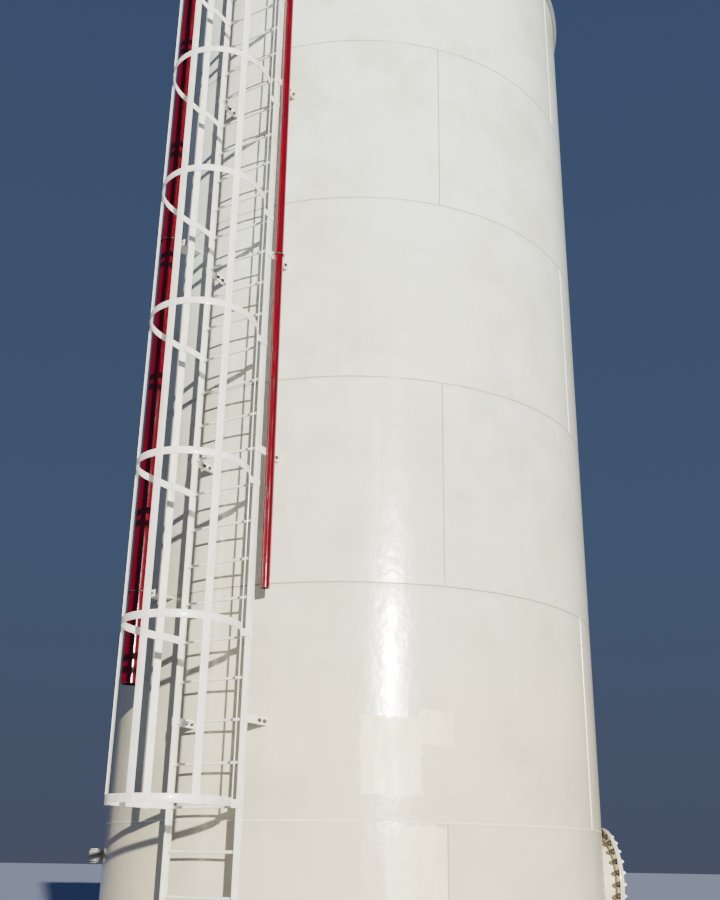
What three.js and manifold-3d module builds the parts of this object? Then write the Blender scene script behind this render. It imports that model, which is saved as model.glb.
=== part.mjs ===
// Vertical storage tank with a caged ladder, two standpipes, a manway and a capped nozzle.
// Millimetres, +Z up, origin at the centre of the base, the ladder on the -Y side.
import * as THREE from 'three';
import { mergeVertices } from 'three/addons/utils/BufferGeometryUtils.js';
import Module from 'manifold-3d';

const wasm = await Module();
wasm.setup();

// Clearance that touching pieces keep
const GAP = 0.3;

// Shell: six 6 ft courses on a 15 ft inner diameter
const INNER_RADIUS = 2286;
const PLATE = 6.35;
const OUTER_RADIUS = INNER_RADIUS + PLATE;
const COURSE_HEIGHT = 1828.8;
const COURSE_COUNT = 6;
const SHELL_HEIGHT = COURSE_HEIGHT * COURSE_COUNT;
const WALL_STEP = 3;
const ODD_SEAM = 49;
const EVEN_SEAM = 94;

// Bottom, curb angle and roof
const BOTTOM_THICKNESS = 8;
const BOTTOM_LIP = 32;
const CURB_WIDTH = 40;
const CURB_DEPTH = 8;
const ROOF_PLATE = 5;
const ROOF_RISE = 190;
const ROOF_SIDES = 72;
const ROOF_OVERHANG = 44;
const VENT_RADIUS = 110;
const VENT_HEIGHT = 230;
const HATCH_RADIUS = 305;
const HATCH_DISTANCE = 1500;
const HATCH_HEIGHT = 150;

// Ladder, a little to the right of the -Y direction
const LADDER_X = 187;
const LADDER_Y = -2516;
const LADDER_HALF_WIDTH = 326;
const RAIL_DEPTH = 76;
const RAIL_THICKNESS = 10;
const RUNG_RADIUS = 11;
const RUNG_PITCH = 316;
const RUNG_ZERO = 1596;
const LADDER_SECTIONS = [[-4, 7], [8, 18], [19, 29]];
const RAIL_FOOT = 60;
const RAIL_TOP = SHELL_HEIGHT + 1067;

// Standoff arms: flat plates from the rails to the wall
const ARM_LEVELS = [690, 2556, 4745, 6620, 8530, 10440];
const ARM_HEIGHT = 64;
const ARM_THICKNESS = 10;
const CLIP_LENGTH = 130;
const CLIP_THICKNESS = 10;
const STRAPPED_ARMS = [3, 5];
const STRAP_BAR = 5;

// Cage: flat bar hoops with a round front and a knee on each side, five vertical straps outside them
const CAGE_X = 250;
const CAGE_Y = -3018;
const CAGE_RADIUS = 440;
const CAGE_FRONT = 5.25;
const CAGE_STEP = 4;
const CAGE_HALF_COUNT = 24.5;
const CAGE_KNEES = [[-190, -2785], [652.5, -2800]];
const TAB_STARTS = [-2705, -2625];
const HOOP_LEVELS = [1929, 3193, 4447, 5734, 7001, 8252, 9520, 10790, 11883];
const HOOP_HEIGHT = 58;
const BOTTOM_HOOP_HEIGHT = 60;
const HOOP_THICKNESS = 6;
const FRONT_STRAPS = [-17, 0, 15];
const KNEE_STRAPS = [33, 133];
const STRAP_WIDTH = 61;
const STRAP_THICKNESS = 6;
const STRAP_OVERRUN = 5;

// Standpipes
const LEFT_PIPE = { x: -652, y: -2522, radius: 84, wall: 7, foot: 2880, top: 10420, bend: 229 };
const RIGHT_PIPE = { x: 573, y: -2430, radius: 38, wall: 5, foot: 3577, top: 10480, bend: 120 };
const LEFT_PIPE_JOINT = 7150;
const LEFT_CLAMP_LEVELS = [3645, 7080];

// Manway
const MANWAY_AZIMUTH = 130;
const MANWAY_Z = 1400;
const MANWAY_NECK = 381;
const MANWAY_NECK_WALL = 10;
const MANWAY_FLANGE = 492;
const MANWAY_FLANGE_THICKNESS = 16;
const MANWAY_REACH = 150;
const MANWAY_PAD = 560;
const MANWAY_PAD_THICKNESS = 6;
const COVER_THICKNESS = 16;
const COVER_GASKET = 3;

// Capped nozzle on the left
const NOZZLE_AZIMUTH = -50;
const NOZZLE_Z = 1560;
const NOZZLE_RADIUS = 45;
const CAP_RADIUS = 60;
const NOZZLE_REACH = 132;

const SHELL_PAINT = { color: 0xe3e0d5, roughness: 0.5, metalness: 0 };
const LADDER_PAINT = { color: 0xecebe2, roughness: 0.5, metalness: 0 };
const PIPE_PAINT = { color: 0xa8121a, roughness: 0.3, metalness: 0 };
const CAP_PAINT = { color: 0xc9c8c0, roughness: 0.5, metalness: 0 };

const group = new THREE.Group();
group.name = 'vertical_storage_tank';

const rad = (degrees) => (degrees * Math.PI) / 180;

// Point on a circle at an azimuth measured from -Y toward +X
const onCircle = (radius, azimuth) => [radius * Math.sin(rad(azimuth)), -radius * Math.cos(rad(azimuth))];

const rungLevel = (index) => RUNG_ZERO + index * RUNG_PITCH;

function toSolid(geometry) {
  const bare = geometry.clone();
  bare.deleteAttribute('normal');
  bare.deleteAttribute('uv');
  const merged = mergeVertices(bare, 1e-3);
  return new wasm.Manifold(new wasm.Mesh({
    numProp: 3,
    vertProperties: new Float32Array(merged.attributes.position.array),
    triVerts: new Uint32Array(merged.index.array),
  }));
}

function toGeometry(solid) {
  const mesh = solid.getMesh();
  const positions = [];
  for (let i = 0; i < mesh.vertProperties.length; i += mesh.numProp) {
    positions.push(mesh.vertProperties[i], mesh.vertProperties[i + 1], mesh.vertProperties[i + 2]);
  }
  const geometry = new THREE.BufferGeometry();
  geometry.setAttribute('position', new THREE.Float32BufferAttribute(positions, 3));
  geometry.setIndex([...mesh.triVerts]);
  const flat = geometry.toNonIndexed();
  flat.computeVertexNormals();
  return flat;
}

function addPiece(name, geometry, paint) {
  const mesh = new THREE.Mesh(geometry, new THREE.MeshStandardMaterial(paint));
  mesh.name = name;
  group.add(mesh);
  return mesh;
}

function join(solids) {
  return solids.reduce((whole, next) => whole.add(next));
}

function box(width, depth, height, x, y, z) {
  return new THREE.BoxGeometry(width, depth, height).translate(x, y, z);
}

// Prism of an outline in plan, from one level up to another
function prism(points, from, to, hole = null) {
  const shape = new THREE.Shape(points.map(([x, y]) => new THREE.Vector2(x, y)));
  if (hole) {
    shape.holes.push(new THREE.Path(hole.map(([x, y]) => new THREE.Vector2(x, y))));
  }
  const geometry = new THREE.ExtrudeGeometry(shape, { depth: to - from, bevelEnabled: false });
  return geometry.translate(0, 0, from);
}

function circlePoints(radius, step = WALL_STEP, offset = 0) {
  const points = [];
  for (let azimuth = 0; azimuth < 360; azimuth += step) {
    points.push(onCircle(radius, azimuth + offset));
  }
  return points;
}

// Outline of a curved plate between two radii over a range of azimuths
function arcBand(inner, outer, from, to, trim) {
  const outside = [];
  const inside = [];
  for (let azimuth = from; azimuth <= to + 1e-6; azimuth += WALL_STEP) {
    let turn = azimuth;
    if (azimuth === from) {
      turn += trim;
    }
    if (azimuth > to - 1e-6) {
      turn -= trim;
    }
    outside.push(onCircle(outer, turn));
    inside.push(onCircle(inner, turn));
  }
  return outside.concat(inside.reverse());
}

// Solid that stands for the wall, a gap larger, to end pieces at it
const wallTurn = ODD_SEAM % WALL_STEP;
const wallCutter = toSolid(prism(
  circlePoints(OUTER_RADIUS + GAP, WALL_STEP, wallTurn),
  -100,
  SHELL_HEIGHT + 400,
));

// Cylinder along a horizontal radius of the tank at an azimuth
function radialCylinder(radius, near, far, azimuth, level, sides) {
  const geometry = new THREE.CylinderGeometry(radius, radius, far - near, sides);
  geometry.translate(0, -(near + far) / 2, 0);
  geometry.rotateZ(rad(azimuth));
  return geometry.translate(0, 0, level);
}

// Bottom plate and shell courses
addPiece(
  'bottom_plate',
  prism(circlePoints(OUTER_RADIUS + BOTTOM_LIP), 0, BOTTOM_THICKNESS),
  SHELL_PAINT,
);

const manwayHole = toSolid(radialCylinder(
  MANWAY_NECK + GAP, INNER_RADIUS - 200, OUTER_RADIUS + 200, MANWAY_AZIMUTH, MANWAY_Z, 40,
));

for (let course = 1; course <= COURSE_COUNT; course += 1) {
  const seam = course % 2 === 1 ? ODD_SEAM : EVEN_SEAM;
  const low = course === 1 ? BOTTOM_THICKNESS + GAP : (course - 1) * COURSE_HEIGHT + GAP / 2;
  const high = course * COURSE_HEIGHT - (course === COURSE_COUNT ? 0 : GAP / 2);
  for (const [side, start] of [['a', seam], ['b', seam + 180]]) {
    const outline = arcBand(INNER_RADIUS, OUTER_RADIUS, start, start + 180, 0.004);
    let solid = toSolid(prism(outline, low, high));
    if (course === 1 && side === 'a') {
      solid = solid.subtract(manwayHole);
    }
    if (course === COURSE_COUNT) {
      const curb = arcBand(OUTER_RADIUS - 2, OUTER_RADIUS + CURB_WIDTH, start, start + 180, 0.004);
      solid = solid.add(toSolid(prism(curb, high - CURB_DEPTH, high)));
    }
    addPiece(`shell_course_${course}${side}`, toGeometry(solid), SHELL_PAINT);
  }
}

// Shallow cone roof on the curb angle, with its vent and hatch
const ROOF_EDGE = OUTER_RADIUS + ROOF_OVERHANG;
const ROOF_BASE = SHELL_HEIGHT + GAP;
const roofProfile = [
  [0, ROOF_BASE + ROOF_RISE],
  [INNER_RADIUS - 60, ROOF_BASE + 4],
  [INNER_RADIUS - 60, ROOF_BASE],
  [ROOF_EDGE, ROOF_BASE],
  [ROOF_EDGE, ROOF_BASE + ROOF_PLATE],
  [INNER_RADIUS - 60, ROOF_BASE + 4 + ROOF_PLATE],
  [0, ROOF_BASE + ROOF_RISE + ROOF_PLATE],
];

function lathe(profile, segments) {
  const points = profile.map(([x, y]) => new THREE.Vector2(x, y));
  return new THREE.LatheGeometry(points, segments).rotateX(Math.PI / 2);
}

const roofSlope = (ROOF_RISE - 4) / (INNER_RADIUS - 60);
const roofTopAt = (distance) => ROOF_BASE + ROOF_PLATE + ROOF_RISE - roofSlope * distance;

const roofCutter = toSolid(lathe([
  [0, ROOF_BASE - 400],
  [OUTER_RADIUS + 400, ROOF_BASE - 400],
  [OUTER_RADIUS + 400, roofTopAt(OUTER_RADIUS + 400) + GAP],
  [0, roofTopAt(0) + GAP],
], ROOF_SIDES));

const hatchPlan = [0, -HATCH_DISTANCE];
const ventHole = toSolid(prism(circlePoints(VENT_RADIUS - 8, 22.5), ROOF_BASE - 50, ROOF_BASE + 400));
const hatchHole = toSolid(
  prism(circlePoints(HATCH_RADIUS - 8, 10), ROOF_BASE - 50, ROOF_BASE + 400),
).translate([hatchPlan[0], hatchPlan[1], 0]);
const roof = toSolid(lathe(roofProfile, ROOF_SIDES)).subtract(ventHole).subtract(hatchHole);
addPiece('roof', toGeometry(roof), SHELL_PAINT);

function upstand(radius, wall, height, sides, plan) {
  const ring = circlePoints(radius, 360 / sides);
  const bore = circlePoints(radius - wall, 360 / sides);
  const top = roofTopAt(Math.abs(plan[1])) + height;
  return toSolid(prism(ring, ROOF_BASE - 20, top, bore))
    .translate([plan[0], plan[1], 0])
    .subtract(roofCutter);
}

const ventTop = roofTopAt(0) + VENT_HEIGHT;
const ventHood = toSolid(lathe([
  [0, ventTop + 4],
  [VENT_RADIUS + 64, ventTop + 4],
  [VENT_RADIUS + 64, ventTop - 30],
  [VENT_RADIUS + 70, ventTop - 30],
  [VENT_RADIUS + 70, ventTop + 10],
  [0, ventTop + 70],
], 16));
const ventPosts = [];
for (let azimuth = 0; azimuth < 360; azimuth += 90) {
  const [x, y] = onCircle(VENT_RADIUS - 4, azimuth);
  ventPosts.push(toSolid(box(10, 10, 50, x, y, ventTop - 15)));
}
const vent = join([upstand(VENT_RADIUS, 8, VENT_HEIGHT - 30, 16, [0, 0]), ventHood, ...ventPosts]);
addPiece('roof_vent', toGeometry(vent), SHELL_PAINT);

const hatchNeck = upstand(HATCH_RADIUS, 8, HATCH_HEIGHT, 36, hatchPlan);
addPiece('roof_hatch_neck', toGeometry(hatchNeck), SHELL_PAINT);
const lidLevel = roofTopAt(HATCH_DISTANCE) + HATCH_HEIGHT + GAP;
const hatchLid = lathe([
  [0, lidLevel],
  [HATCH_RADIUS + 20, lidLevel],
  [HATCH_RADIUS + 20, lidLevel - 30],
  [HATCH_RADIUS + 26, lidLevel - 30],
  [HATCH_RADIUS + 26, lidLevel + 6],
  [0, lidLevel + 14],
], 36).translate(hatchPlan[0], hatchPlan[1], 0);
addPiece('roof_hatch_lid', hatchLid, SHELL_PAINT);

// Ladder: three sections, each of two flat rails joined by round rungs
const railX = LADDER_HALF_WIDTH + RAIL_THICKNESS / 2;
LADDER_SECTIONS.forEach(([first, last], order) => {
  const low = order === 0 ? RAIL_FOOT : rungLevel(first - 0.5) + GAP / 2;
  const high = order === LADDER_SECTIONS.length - 1 ? RAIL_TOP : rungLevel(last + 0.5) - GAP / 2;
  const parts = [-1, 1].map((side) => toSolid(
    box(RAIL_THICKNESS, RAIL_DEPTH, high - low, LADDER_X + side * railX, LADDER_Y, (low + high) / 2),
  ));
  for (let index = first; index <= last; index += 1) {
    const length = 2 * LADDER_HALF_WIDTH + 2;
    const rung = new THREE.CylinderGeometry(RUNG_RADIUS, RUNG_RADIUS, length, 8);
    rung.rotateZ(Math.PI / 2).translate(LADDER_X, LADDER_Y, rungLevel(index));
    parts.push(toSolid(rung));
  }
  addPiece(`ladder_section_${order + 1}`, toGeometry(join(parts)), LADDER_PAINT);
});

// Path with one section at each of its points, square to the bend there
class PointPath extends THREE.Curve {
  constructor(points) {
    super();
    this.points = points;
  }

  getPoint(t) {
    const place = t * (this.points.length - 1);
    const index = Math.min(Math.floor(place), this.points.length - 2);
    return this.points[index].clone().lerp(this.points[index + 1], place - index);
  }

  getPointAt(u) {
    return this.getPoint(u);
  }

  getTangentAt(u) {
    const last = this.points.length - 1;
    const index = Math.round(u * last);
    const before = this.points[Math.max(index - 1, 0)];
    const here = this.points[index];
    const after = this.points[Math.min(index + 1, last)];
    const arriving = here.clone().sub(before).normalize();
    const leaving = after.clone().sub(here).normalize();
    return arriving.add(leaving).normalize();
  }
}

// Round bar bent along a path of points
function bentBar(points, radius, sides) {
  const path = new PointPath(points);
  const section = new THREE.Shape();
  for (let i = 0; i < sides; i += 1) {
    const turn = (i * 2 * Math.PI) / sides;
    const [u, v] = [radius * Math.cos(turn), radius * Math.sin(turn)];
    if (i === 0) {
      section.moveTo(u, v);
    } else {
      section.lineTo(u, v);
    }
  }
  section.closePath();
  return new THREE.ExtrudeGeometry(section, {
    steps: points.length - 1, bevelEnabled: false, extrudePath: path,
  });
}

// Half loop of a U-bolt round a vertical pipe, its legs toward +Y before it is turned
function loopPoints(center, radius, turn, leg, level) {
  const points = [];
  const axis = new THREE.Vector3(0, 0, 1);
  const place = (x, y) => new THREE.Vector3(x, y, 0)
    .applyAxisAngle(axis, turn)
    .add(new THREE.Vector3(center[0], center[1], level));
  points.push(place(-radius, leg));
  for (let step = 0; step <= 8; step += 1) {
    const angle = Math.PI + (step * Math.PI) / 8;
    points.push(place(radius * Math.cos(angle), radius * Math.sin(angle)));
  }
  points.push(place(radius, leg));
  return points;
}

// Arms: upright flats outside the rails, each lapped with a clip that stands on the wall
const armX = LADDER_HALF_WIDTH + RAIL_THICKNESS + GAP + ARM_THICKNESS / 2;
const clipX = armX - (ARM_THICKNESS + CLIP_THICKNESS) / 2;
ARM_LEVELS.forEach((level, order) => {
  const from = LADDER_Y - RAIL_DEPTH / 2 + 4;
  for (const [side, sign] of [['left', -1], ['right', 1]]) {
    const x = LADDER_X + sign * armX;
    const wall = -Math.sqrt(OUTER_RADIUS ** 2 - x ** 2);
    const to = wall + 60;
    const parts = [
      toSolid(box(ARM_THICKNESS, to - from, ARM_HEIGHT, x, (from + to) / 2, level)),
      toSolid(box(
        CLIP_THICKNESS + 0.02, CLIP_LENGTH + 60, ARM_HEIGHT,
        LADDER_X + sign * clipX, to - (CLIP_LENGTH + 60) / 2, level,
      )),
    ];
    if (side === 'right' && STRAPPED_ARMS.includes(order)) {
      const loop = loopPoints(
        [RIGHT_PIPE.x, RIGHT_PIPE.y],
        RIGHT_PIPE.radius + GAP + STRAP_BAR + 1,
        Math.PI / 2,
        RIGHT_PIPE.x - x,
        level,
      );
      parts.push(toSolid(bentBar(loop, STRAP_BAR, 6)));
    }
    const arm = join(parts).subtract(wallCutter);
    addPiece(`ladder_arm_${order + 1}_${side}`, toGeometry(arm), LADDER_PAINT);
  }
});

// Cage hoops: flat bar bent round, with straight ends on the rails' outer faces
const tabFace = LADDER_HALF_WIDTH + RAIL_THICKNESS + GAP + HOOP_THICKNESS;
const tabEnd = LADDER_Y + RAIL_DEPTH / 2 - 4;
const tabStarts = [[LADDER_X - tabFace, TAB_STARTS[0]], [LADDER_X + tabFace, TAB_STARTS[1]]];

// The outer face of a hoop in plan, from the left end round to the right one
function hoopPath() {
  const front = [];
  for (let i = -CAGE_HALF_COUNT; i <= CAGE_HALF_COUNT; i += 1) {
    const [x, y] = onCircle(CAGE_RADIUS, CAGE_FRONT + i * CAGE_STEP);
    front.push([CAGE_X + x, CAGE_Y + y]);
  }
  const [left, right] = CAGE_KNEES;
  return [
    [LADDER_X - tabFace, tabEnd],
    tabStarts[0],
    left,
    ...front,
    right,
    tabStarts[1],
    [LADDER_X + tabFace, tabEnd],
  ];
}

// A path moved to its inner side, with mitred corners
function inset(path, distance) {
  const normals = path.slice(1).map(([x, y], i) => {
    const length = Math.hypot(x - path[i][0], y - path[i][1]);
    return [(path[i][1] - y) / length, (x - path[i][0]) / length];
  });
  return path.map(([x, y], i) => {
    const [ax, ay] = normals[Math.max(i - 1, 0)];
    const [bx, by] = normals[Math.min(i, normals.length - 1)];
    const scale = distance / (1 + ax * bx + ay * by);
    return [x + (ax + bx) * scale, y + (ay + by) * scale];
  });
}

const hoopFace = hoopPath();
const hoopOutline = [...hoopFace, ...inset(hoopFace, HOOP_THICKNESS).reverse()];
HOOP_LEVELS.forEach((level, order) => {
  const height = order === 0 ? BOTTOM_HOOP_HEIGHT : HOOP_HEIGHT;
  const hoop = prism(hoopOutline, level - height / 2, level + height / 2);
  addPiece(`cage_hoop_${order + 1}`, hoop, LADDER_PAINT);
});

// Cage straps: three on the round front and one on each slanted end of the hoops
const strapLift = GAP + STRAP_THICKNESS / 2;
const strapReach = CAGE_RADIUS * Math.cos(rad(CAGE_STEP / 2)) + strapLift;
const frontStraps = FRONT_STRAPS.map((facet) => {
  const azimuth = CAGE_FRONT + facet * CAGE_STEP;
  const [x, y] = onCircle(strapReach, azimuth);
  return [CAGE_X + x, CAGE_Y + y, rad(azimuth)];
});
const kneeStraps = KNEE_STRAPS.map((distance, order) => {
  const [x, y] = CAGE_KNEES[order];
  const [dx, dy] = [tabStarts[order][0] - x, tabStarts[order][1] - y];
  const length = Math.hypot(dx, dy);
  const side = order === 0 ? -1 : 1;
  const [nx, ny] = [(side * dy) / length, (-side * dx) / length];
  const share = distance / length;
  return [x + dx * share + nx * strapLift, y + dy * share + ny * strapLift, Math.atan2(nx, -ny)];
});
const strapLow = HOOP_LEVELS[0] - BOTTOM_HOOP_HEIGHT / 2 - STRAP_OVERRUN;
const strapHigh = HOOP_LEVELS[HOOP_LEVELS.length - 1] + HOOP_HEIGHT / 2 + STRAP_OVERRUN;
[kneeStraps[0], ...frontStraps, kneeStraps[1]].forEach(([x, y, turn], order) => {
  const strap = new THREE.BoxGeometry(STRAP_WIDTH, STRAP_THICKNESS, strapHigh - strapLow);
  strap.rotateZ(turn);
  strap.translate(x, y, (strapLow + strapHigh) / 2);
  addPiece(`cage_strap_${order + 1}`, strap, LADDER_PAINT);
});

// Standpipes: open at the foot, turned into the wall at the top
function standpipe(pipe) {
  const azimuth = Math.atan2(pipe.x, -pipe.y);
  const inward = new THREE.Vector3(-Math.sin(azimuth), Math.cos(azimuth), 0);
  const base = new THREE.Vector3(pipe.x, pipe.y, pipe.foot);
  const turn = new THREE.Vector3(pipe.x, pipe.y, pipe.top);
  const points = [base, turn];
  for (let step = 1; step <= 6; step += 1) {
    const angle = (step * Math.PI) / 12;
    points.push(turn.clone()
      .addScaledVector(inward, pipe.bend * (1 - Math.cos(angle)))
      .add(new THREE.Vector3(0, 0, pipe.bend * Math.sin(angle))));
  }
  const reach = Math.hypot(pipe.x, pipe.y) - pipe.bend - OUTER_RADIUS + 60;
  if (reach > 0) {
    points.push(points[points.length - 1].clone().addScaledVector(inward, reach));
  }
  const outside = toSolid(bentBar(points, pipe.radius, 18));
  const bore = toSolid(bentBar(points, pipe.radius - pipe.wall, 18));
  return outside.subtract(bore).subtract(wallCutter);
}

// The part of the left pipe between two levels, which is one length of it
const leftPipe = standpipe(LEFT_PIPE);
function pipeLength(from, to) {
  return leftPipe.intersect(toSolid(box(800, 800, to - from, LEFT_PIPE.x, LEFT_PIPE.y, (from + to) / 2)));
}

const pipeLevels = [LEFT_PIPE.foot - 50, LEFT_PIPE_JOINT, LEFT_PIPE.top, LEFT_PIPE.top + 600];
['lower', 'upper', 'elbow'].forEach((name, order) => {
  const solid = pipeLength(pipeLevels[order] + GAP / 2, pipeLevels[order + 1] - GAP / 2);
  addPiece(`left_standpipe_${name}`, toGeometry(solid), PIPE_PAINT);
});
addPiece('right_standpipe', toGeometry(standpipe(RIGHT_PIPE)), PIPE_PAINT);

// Clamps of the left pipe: a flat arm from the wall and a U-bolt round the pipe
const leftAzimuth = Math.atan2(LEFT_PIPE.x, -LEFT_PIPE.y);
LEFT_CLAMP_LEVELS.forEach((level, order) => {
  const distance = Math.hypot(LEFT_PIPE.x, LEFT_PIPE.y);
  const near = OUTER_RADIUS - 60;
  const far = distance - LEFT_PIPE.radius - GAP;
  const plate = new THREE.BoxGeometry(150, far - near, 10).translate(0, -(near + far) / 2, 0);
  const lug = new THREE.BoxGeometry(216, 10, 60).translate(0, -far + 5, 0);
  const turned = [plate, lug].map((geometry) => geometry.rotateZ(leftAzimuth).translate(0, 0, level));
  const center = [LEFT_PIPE.x, LEFT_PIPE.y];
  const loop = bentBar(loopPoints(
    center, LEFT_PIPE.radius + GAP + 7, leftAzimuth, LEFT_PIPE.radius + 8, level,
  ), 5, 8);
  const clamp = join([...turned.map(toSolid), toSolid(loop)]).subtract(wallCutter);
  addPiece(`left_pipe_clamp_${order + 1}`, toGeometry(clamp), LADDER_PAINT);
});

// Manway: neck with its pad and flange, and the bolted cover
const neckEnd = OUTER_RADIUS + MANWAY_REACH;
const padRing = toSolid(radialCylinder(
  MANWAY_PAD, INNER_RADIUS - 100, OUTER_RADIUS + 200, MANWAY_AZIMUTH, MANWAY_Z, 40,
));
const padShell = toSolid(prism(
  circlePoints(OUTER_RADIUS + GAP + MANWAY_PAD_THICKNESS, WALL_STEP, wallTurn),
  0,
  COURSE_HEIGHT * 1.5,
)).subtract(wallCutter);
const manwayNeck = join([
  toSolid(radialCylinder(MANWAY_NECK, INNER_RADIUS - 60, neckEnd, MANWAY_AZIMUTH, MANWAY_Z, 40)),
  padRing.intersect(padShell),
  toSolid(radialCylinder(
    MANWAY_FLANGE, neckEnd - MANWAY_FLANGE_THICKNESS, neckEnd, MANWAY_AZIMUTH, MANWAY_Z, 40,
  )),
]).subtract(toSolid(radialCylinder(
  MANWAY_NECK - MANWAY_NECK_WALL, INNER_RADIUS - 300, neckEnd + 50, MANWAY_AZIMUTH, MANWAY_Z, 40,
)));
addPiece('manway_neck', toGeometry(manwayNeck), SHELL_PAINT);

const coverNear = neckEnd + COVER_GASKET;
const cover = join([
  toSolid(radialCylinder(
    MANWAY_FLANGE, coverNear, coverNear + COVER_THICKNESS, MANWAY_AZIMUTH, MANWAY_Z, 40,
  )),
  toSolid(radialCylinder(
    MANWAY_NECK, neckEnd + GAP, coverNear + 1, MANWAY_AZIMUTH, MANWAY_Z, 40,
  )),
]);
addPiece('manway_cover', toGeometry(cover), SHELL_PAINT);

// Capped nozzle
const nozzle = join([
  toSolid(radialCylinder(
    NOZZLE_RADIUS, OUTER_RADIUS - 60, OUTER_RADIUS + 60, NOZZLE_AZIMUTH, NOZZLE_Z, 20,
  )),
  toSolid(radialCylinder(
    CAP_RADIUS, OUTER_RADIUS + 36, OUTER_RADIUS + NOZZLE_REACH, NOZZLE_AZIMUTH, NOZZLE_Z, 20,
  )),
]).subtract(wallCutter);
addPiece('side_nozzle', toGeometry(nozzle), CAP_PAINT);

export default group;
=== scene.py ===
"""Vertical storage tank: plated shell, caged ladder, standpipes and manway, dressed for a render."""
import logging
import math
from dataclasses import dataclass
from enum import Enum

import bmesh
import bpy
from mathutils import Matrix, Vector, noise


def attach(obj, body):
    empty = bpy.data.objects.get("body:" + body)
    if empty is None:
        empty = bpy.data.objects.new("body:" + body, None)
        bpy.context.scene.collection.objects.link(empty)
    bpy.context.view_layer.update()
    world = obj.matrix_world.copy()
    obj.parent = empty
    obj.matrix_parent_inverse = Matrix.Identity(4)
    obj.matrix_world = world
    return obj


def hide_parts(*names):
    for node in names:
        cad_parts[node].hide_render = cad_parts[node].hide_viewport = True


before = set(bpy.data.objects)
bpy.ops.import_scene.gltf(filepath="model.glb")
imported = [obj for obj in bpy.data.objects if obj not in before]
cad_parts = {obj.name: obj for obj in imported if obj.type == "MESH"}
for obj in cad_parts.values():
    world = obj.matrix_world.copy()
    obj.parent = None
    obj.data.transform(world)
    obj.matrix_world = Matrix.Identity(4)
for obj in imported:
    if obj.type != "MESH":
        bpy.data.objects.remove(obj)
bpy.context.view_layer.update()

LOG = logging.getLogger("tank")

# Sizes that several pieces share, in metres, with azimuths in degrees from -Y toward +X
INNER = 2.286
OUTER = 2.29235
COURSE = 1.8288
TOP = 6 * COURSE
ODD_SEAM = 49.0
EVEN_SEAM = 94.0
LADDER_X = 0.187
LADDER_Y = -2.516
HALF_WIDTH = 0.326
RAIL_DEPTH = 0.076
RAIL_THICKNESS = 0.010
RUNG_PITCH = 0.316
RUNG_ZERO = 1.596
ARM_LEVELS = (0.690, 2.556, 4.745, 6.620, 8.530, 10.440)
CLEAR = 0.0003
LEFT_PIPE = (-0.652, -2.522, 0.084)
RIGHT_PIPE = (0.575, -2.430, 0.040)
RIGHT_FOOT = 3.577
RIGHT_TOP = 10.480
RIGHT_LEAN = (0.024, -0.040)
MANWAY_AZIMUTH = 130.0
MANWAY_LEVEL = 1.400
MANWAY_NECK = 0.381


class Slot(Enum):
    """Material slots of the record."""

    SHELL = "shell_paint"
    LADDER = "ladder_paint"
    PIPE = "pipe_paint"
    CAP = "cap_paint"


def on_circle(radius: float, azimuth: float, level: float = 0.0) -> Vector:
    """Finds a point round the tank.

    Args:
        radius: Distance from the tank's axis.
        azimuth: Degrees from -Y toward +X.
        level: Height.

    Returns:
        The point.
    """
    turn = math.radians(azimuth)
    return Vector((radius * math.sin(turn), -radius * math.cos(turn), level))


def radial_frame(azimuth: float, level: float, radius: float = 0.0) -> Matrix:
    """Builds a frame whose local +Z points outwards along a radius of the tank.

    Args:
        azimuth: Direction of the radius.
        level: Height of the frame's origin.
        radius: Distance of the frame's origin from the axis.

    Returns:
        The frame, with local +Y up.
    """
    out = on_circle(1.0, azimuth)
    up = Vector((0, 0, 1))
    side = up.cross(out)
    frame_matrix = Matrix((side, up, out)).transposed().to_4x4()
    frame_matrix.translation = on_circle(radius, azimuth, level)
    return frame_matrix


def linear(code: str) -> tuple[float, float, float, float]:
    """Turns an sRGB hex value to a linear colour.

    Args:
        code: Six hex digits after a hash sign.

    Returns:
        Linear red, green, blue and alpha.
    """
    values = [int(code[i:i + 2], 16) / 255 for i in (1, 3, 5)]
    curve = [v / 12.92 if v <= 0.04045 else ((v + 0.055) / 1.055) ** 2.4 for v in values]
    return curve[0], curve[1], curve[2], 1.0


def add_node(tree: bpy.types.NodeTree, kind: str, settings: dict | None = None,
             links: dict | None = None) -> bpy.types.Node:
    """Adds one node with its settings and the links that run into it.

    Args:
        tree: Node tree that the node goes into.
        kind: The node's type name.
        settings: Properties in lower case, and input values by name or index. "stops" fills a ramp.
        links: Input name or index to the node or output that feeds it.

    Returns:
        The node.
    """
    node = tree.nodes.new(kind)
    for key, value in (settings or {}).items():
        if key == "stops":
            ramp = node.color_ramp
            while len(ramp.elements) < len(value):
                ramp.elements.new(0.5)
            for element, (place, colour) in zip(ramp.elements, value):
                element.position = place
                element.color = colour
        elif isinstance(key, str) and key[0].islower():
            setattr(node, key, value)
        else:
            node.inputs[key].default_value = value
    for key, source in (links or {}).items():
        tree.links.new(source.outputs[0] if hasattr(source, "outputs") else source, node.inputs[key])
    return node


@dataclass
class Body:
    """Faces and points of one closed form before it becomes a mesh."""

    points: list
    faces: list

    def moved(self, place: Matrix) -> "Body":
        """Returns the body moved by a matrix."""
        return Body([place @ Vector(p) for p in self.points], self.faces)

    def joined(self, *others: "Body") -> "Body":
        """Puts this body and others together.

        Args:
            others: The bodies that are added.

        Returns:
            All of them as one.
        """
        points, faces = list(self.points), list(self.faces)
        for other in others:
            start = len(points)
            points += other.points
            faces += [tuple(i + start for i in face) for face in other.faces]
        return Body(points, faces)


def gather(bodies: list) -> Body:
    """Joins a list of bodies into one."""
    return Body([], []).joined(*bodies)


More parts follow.
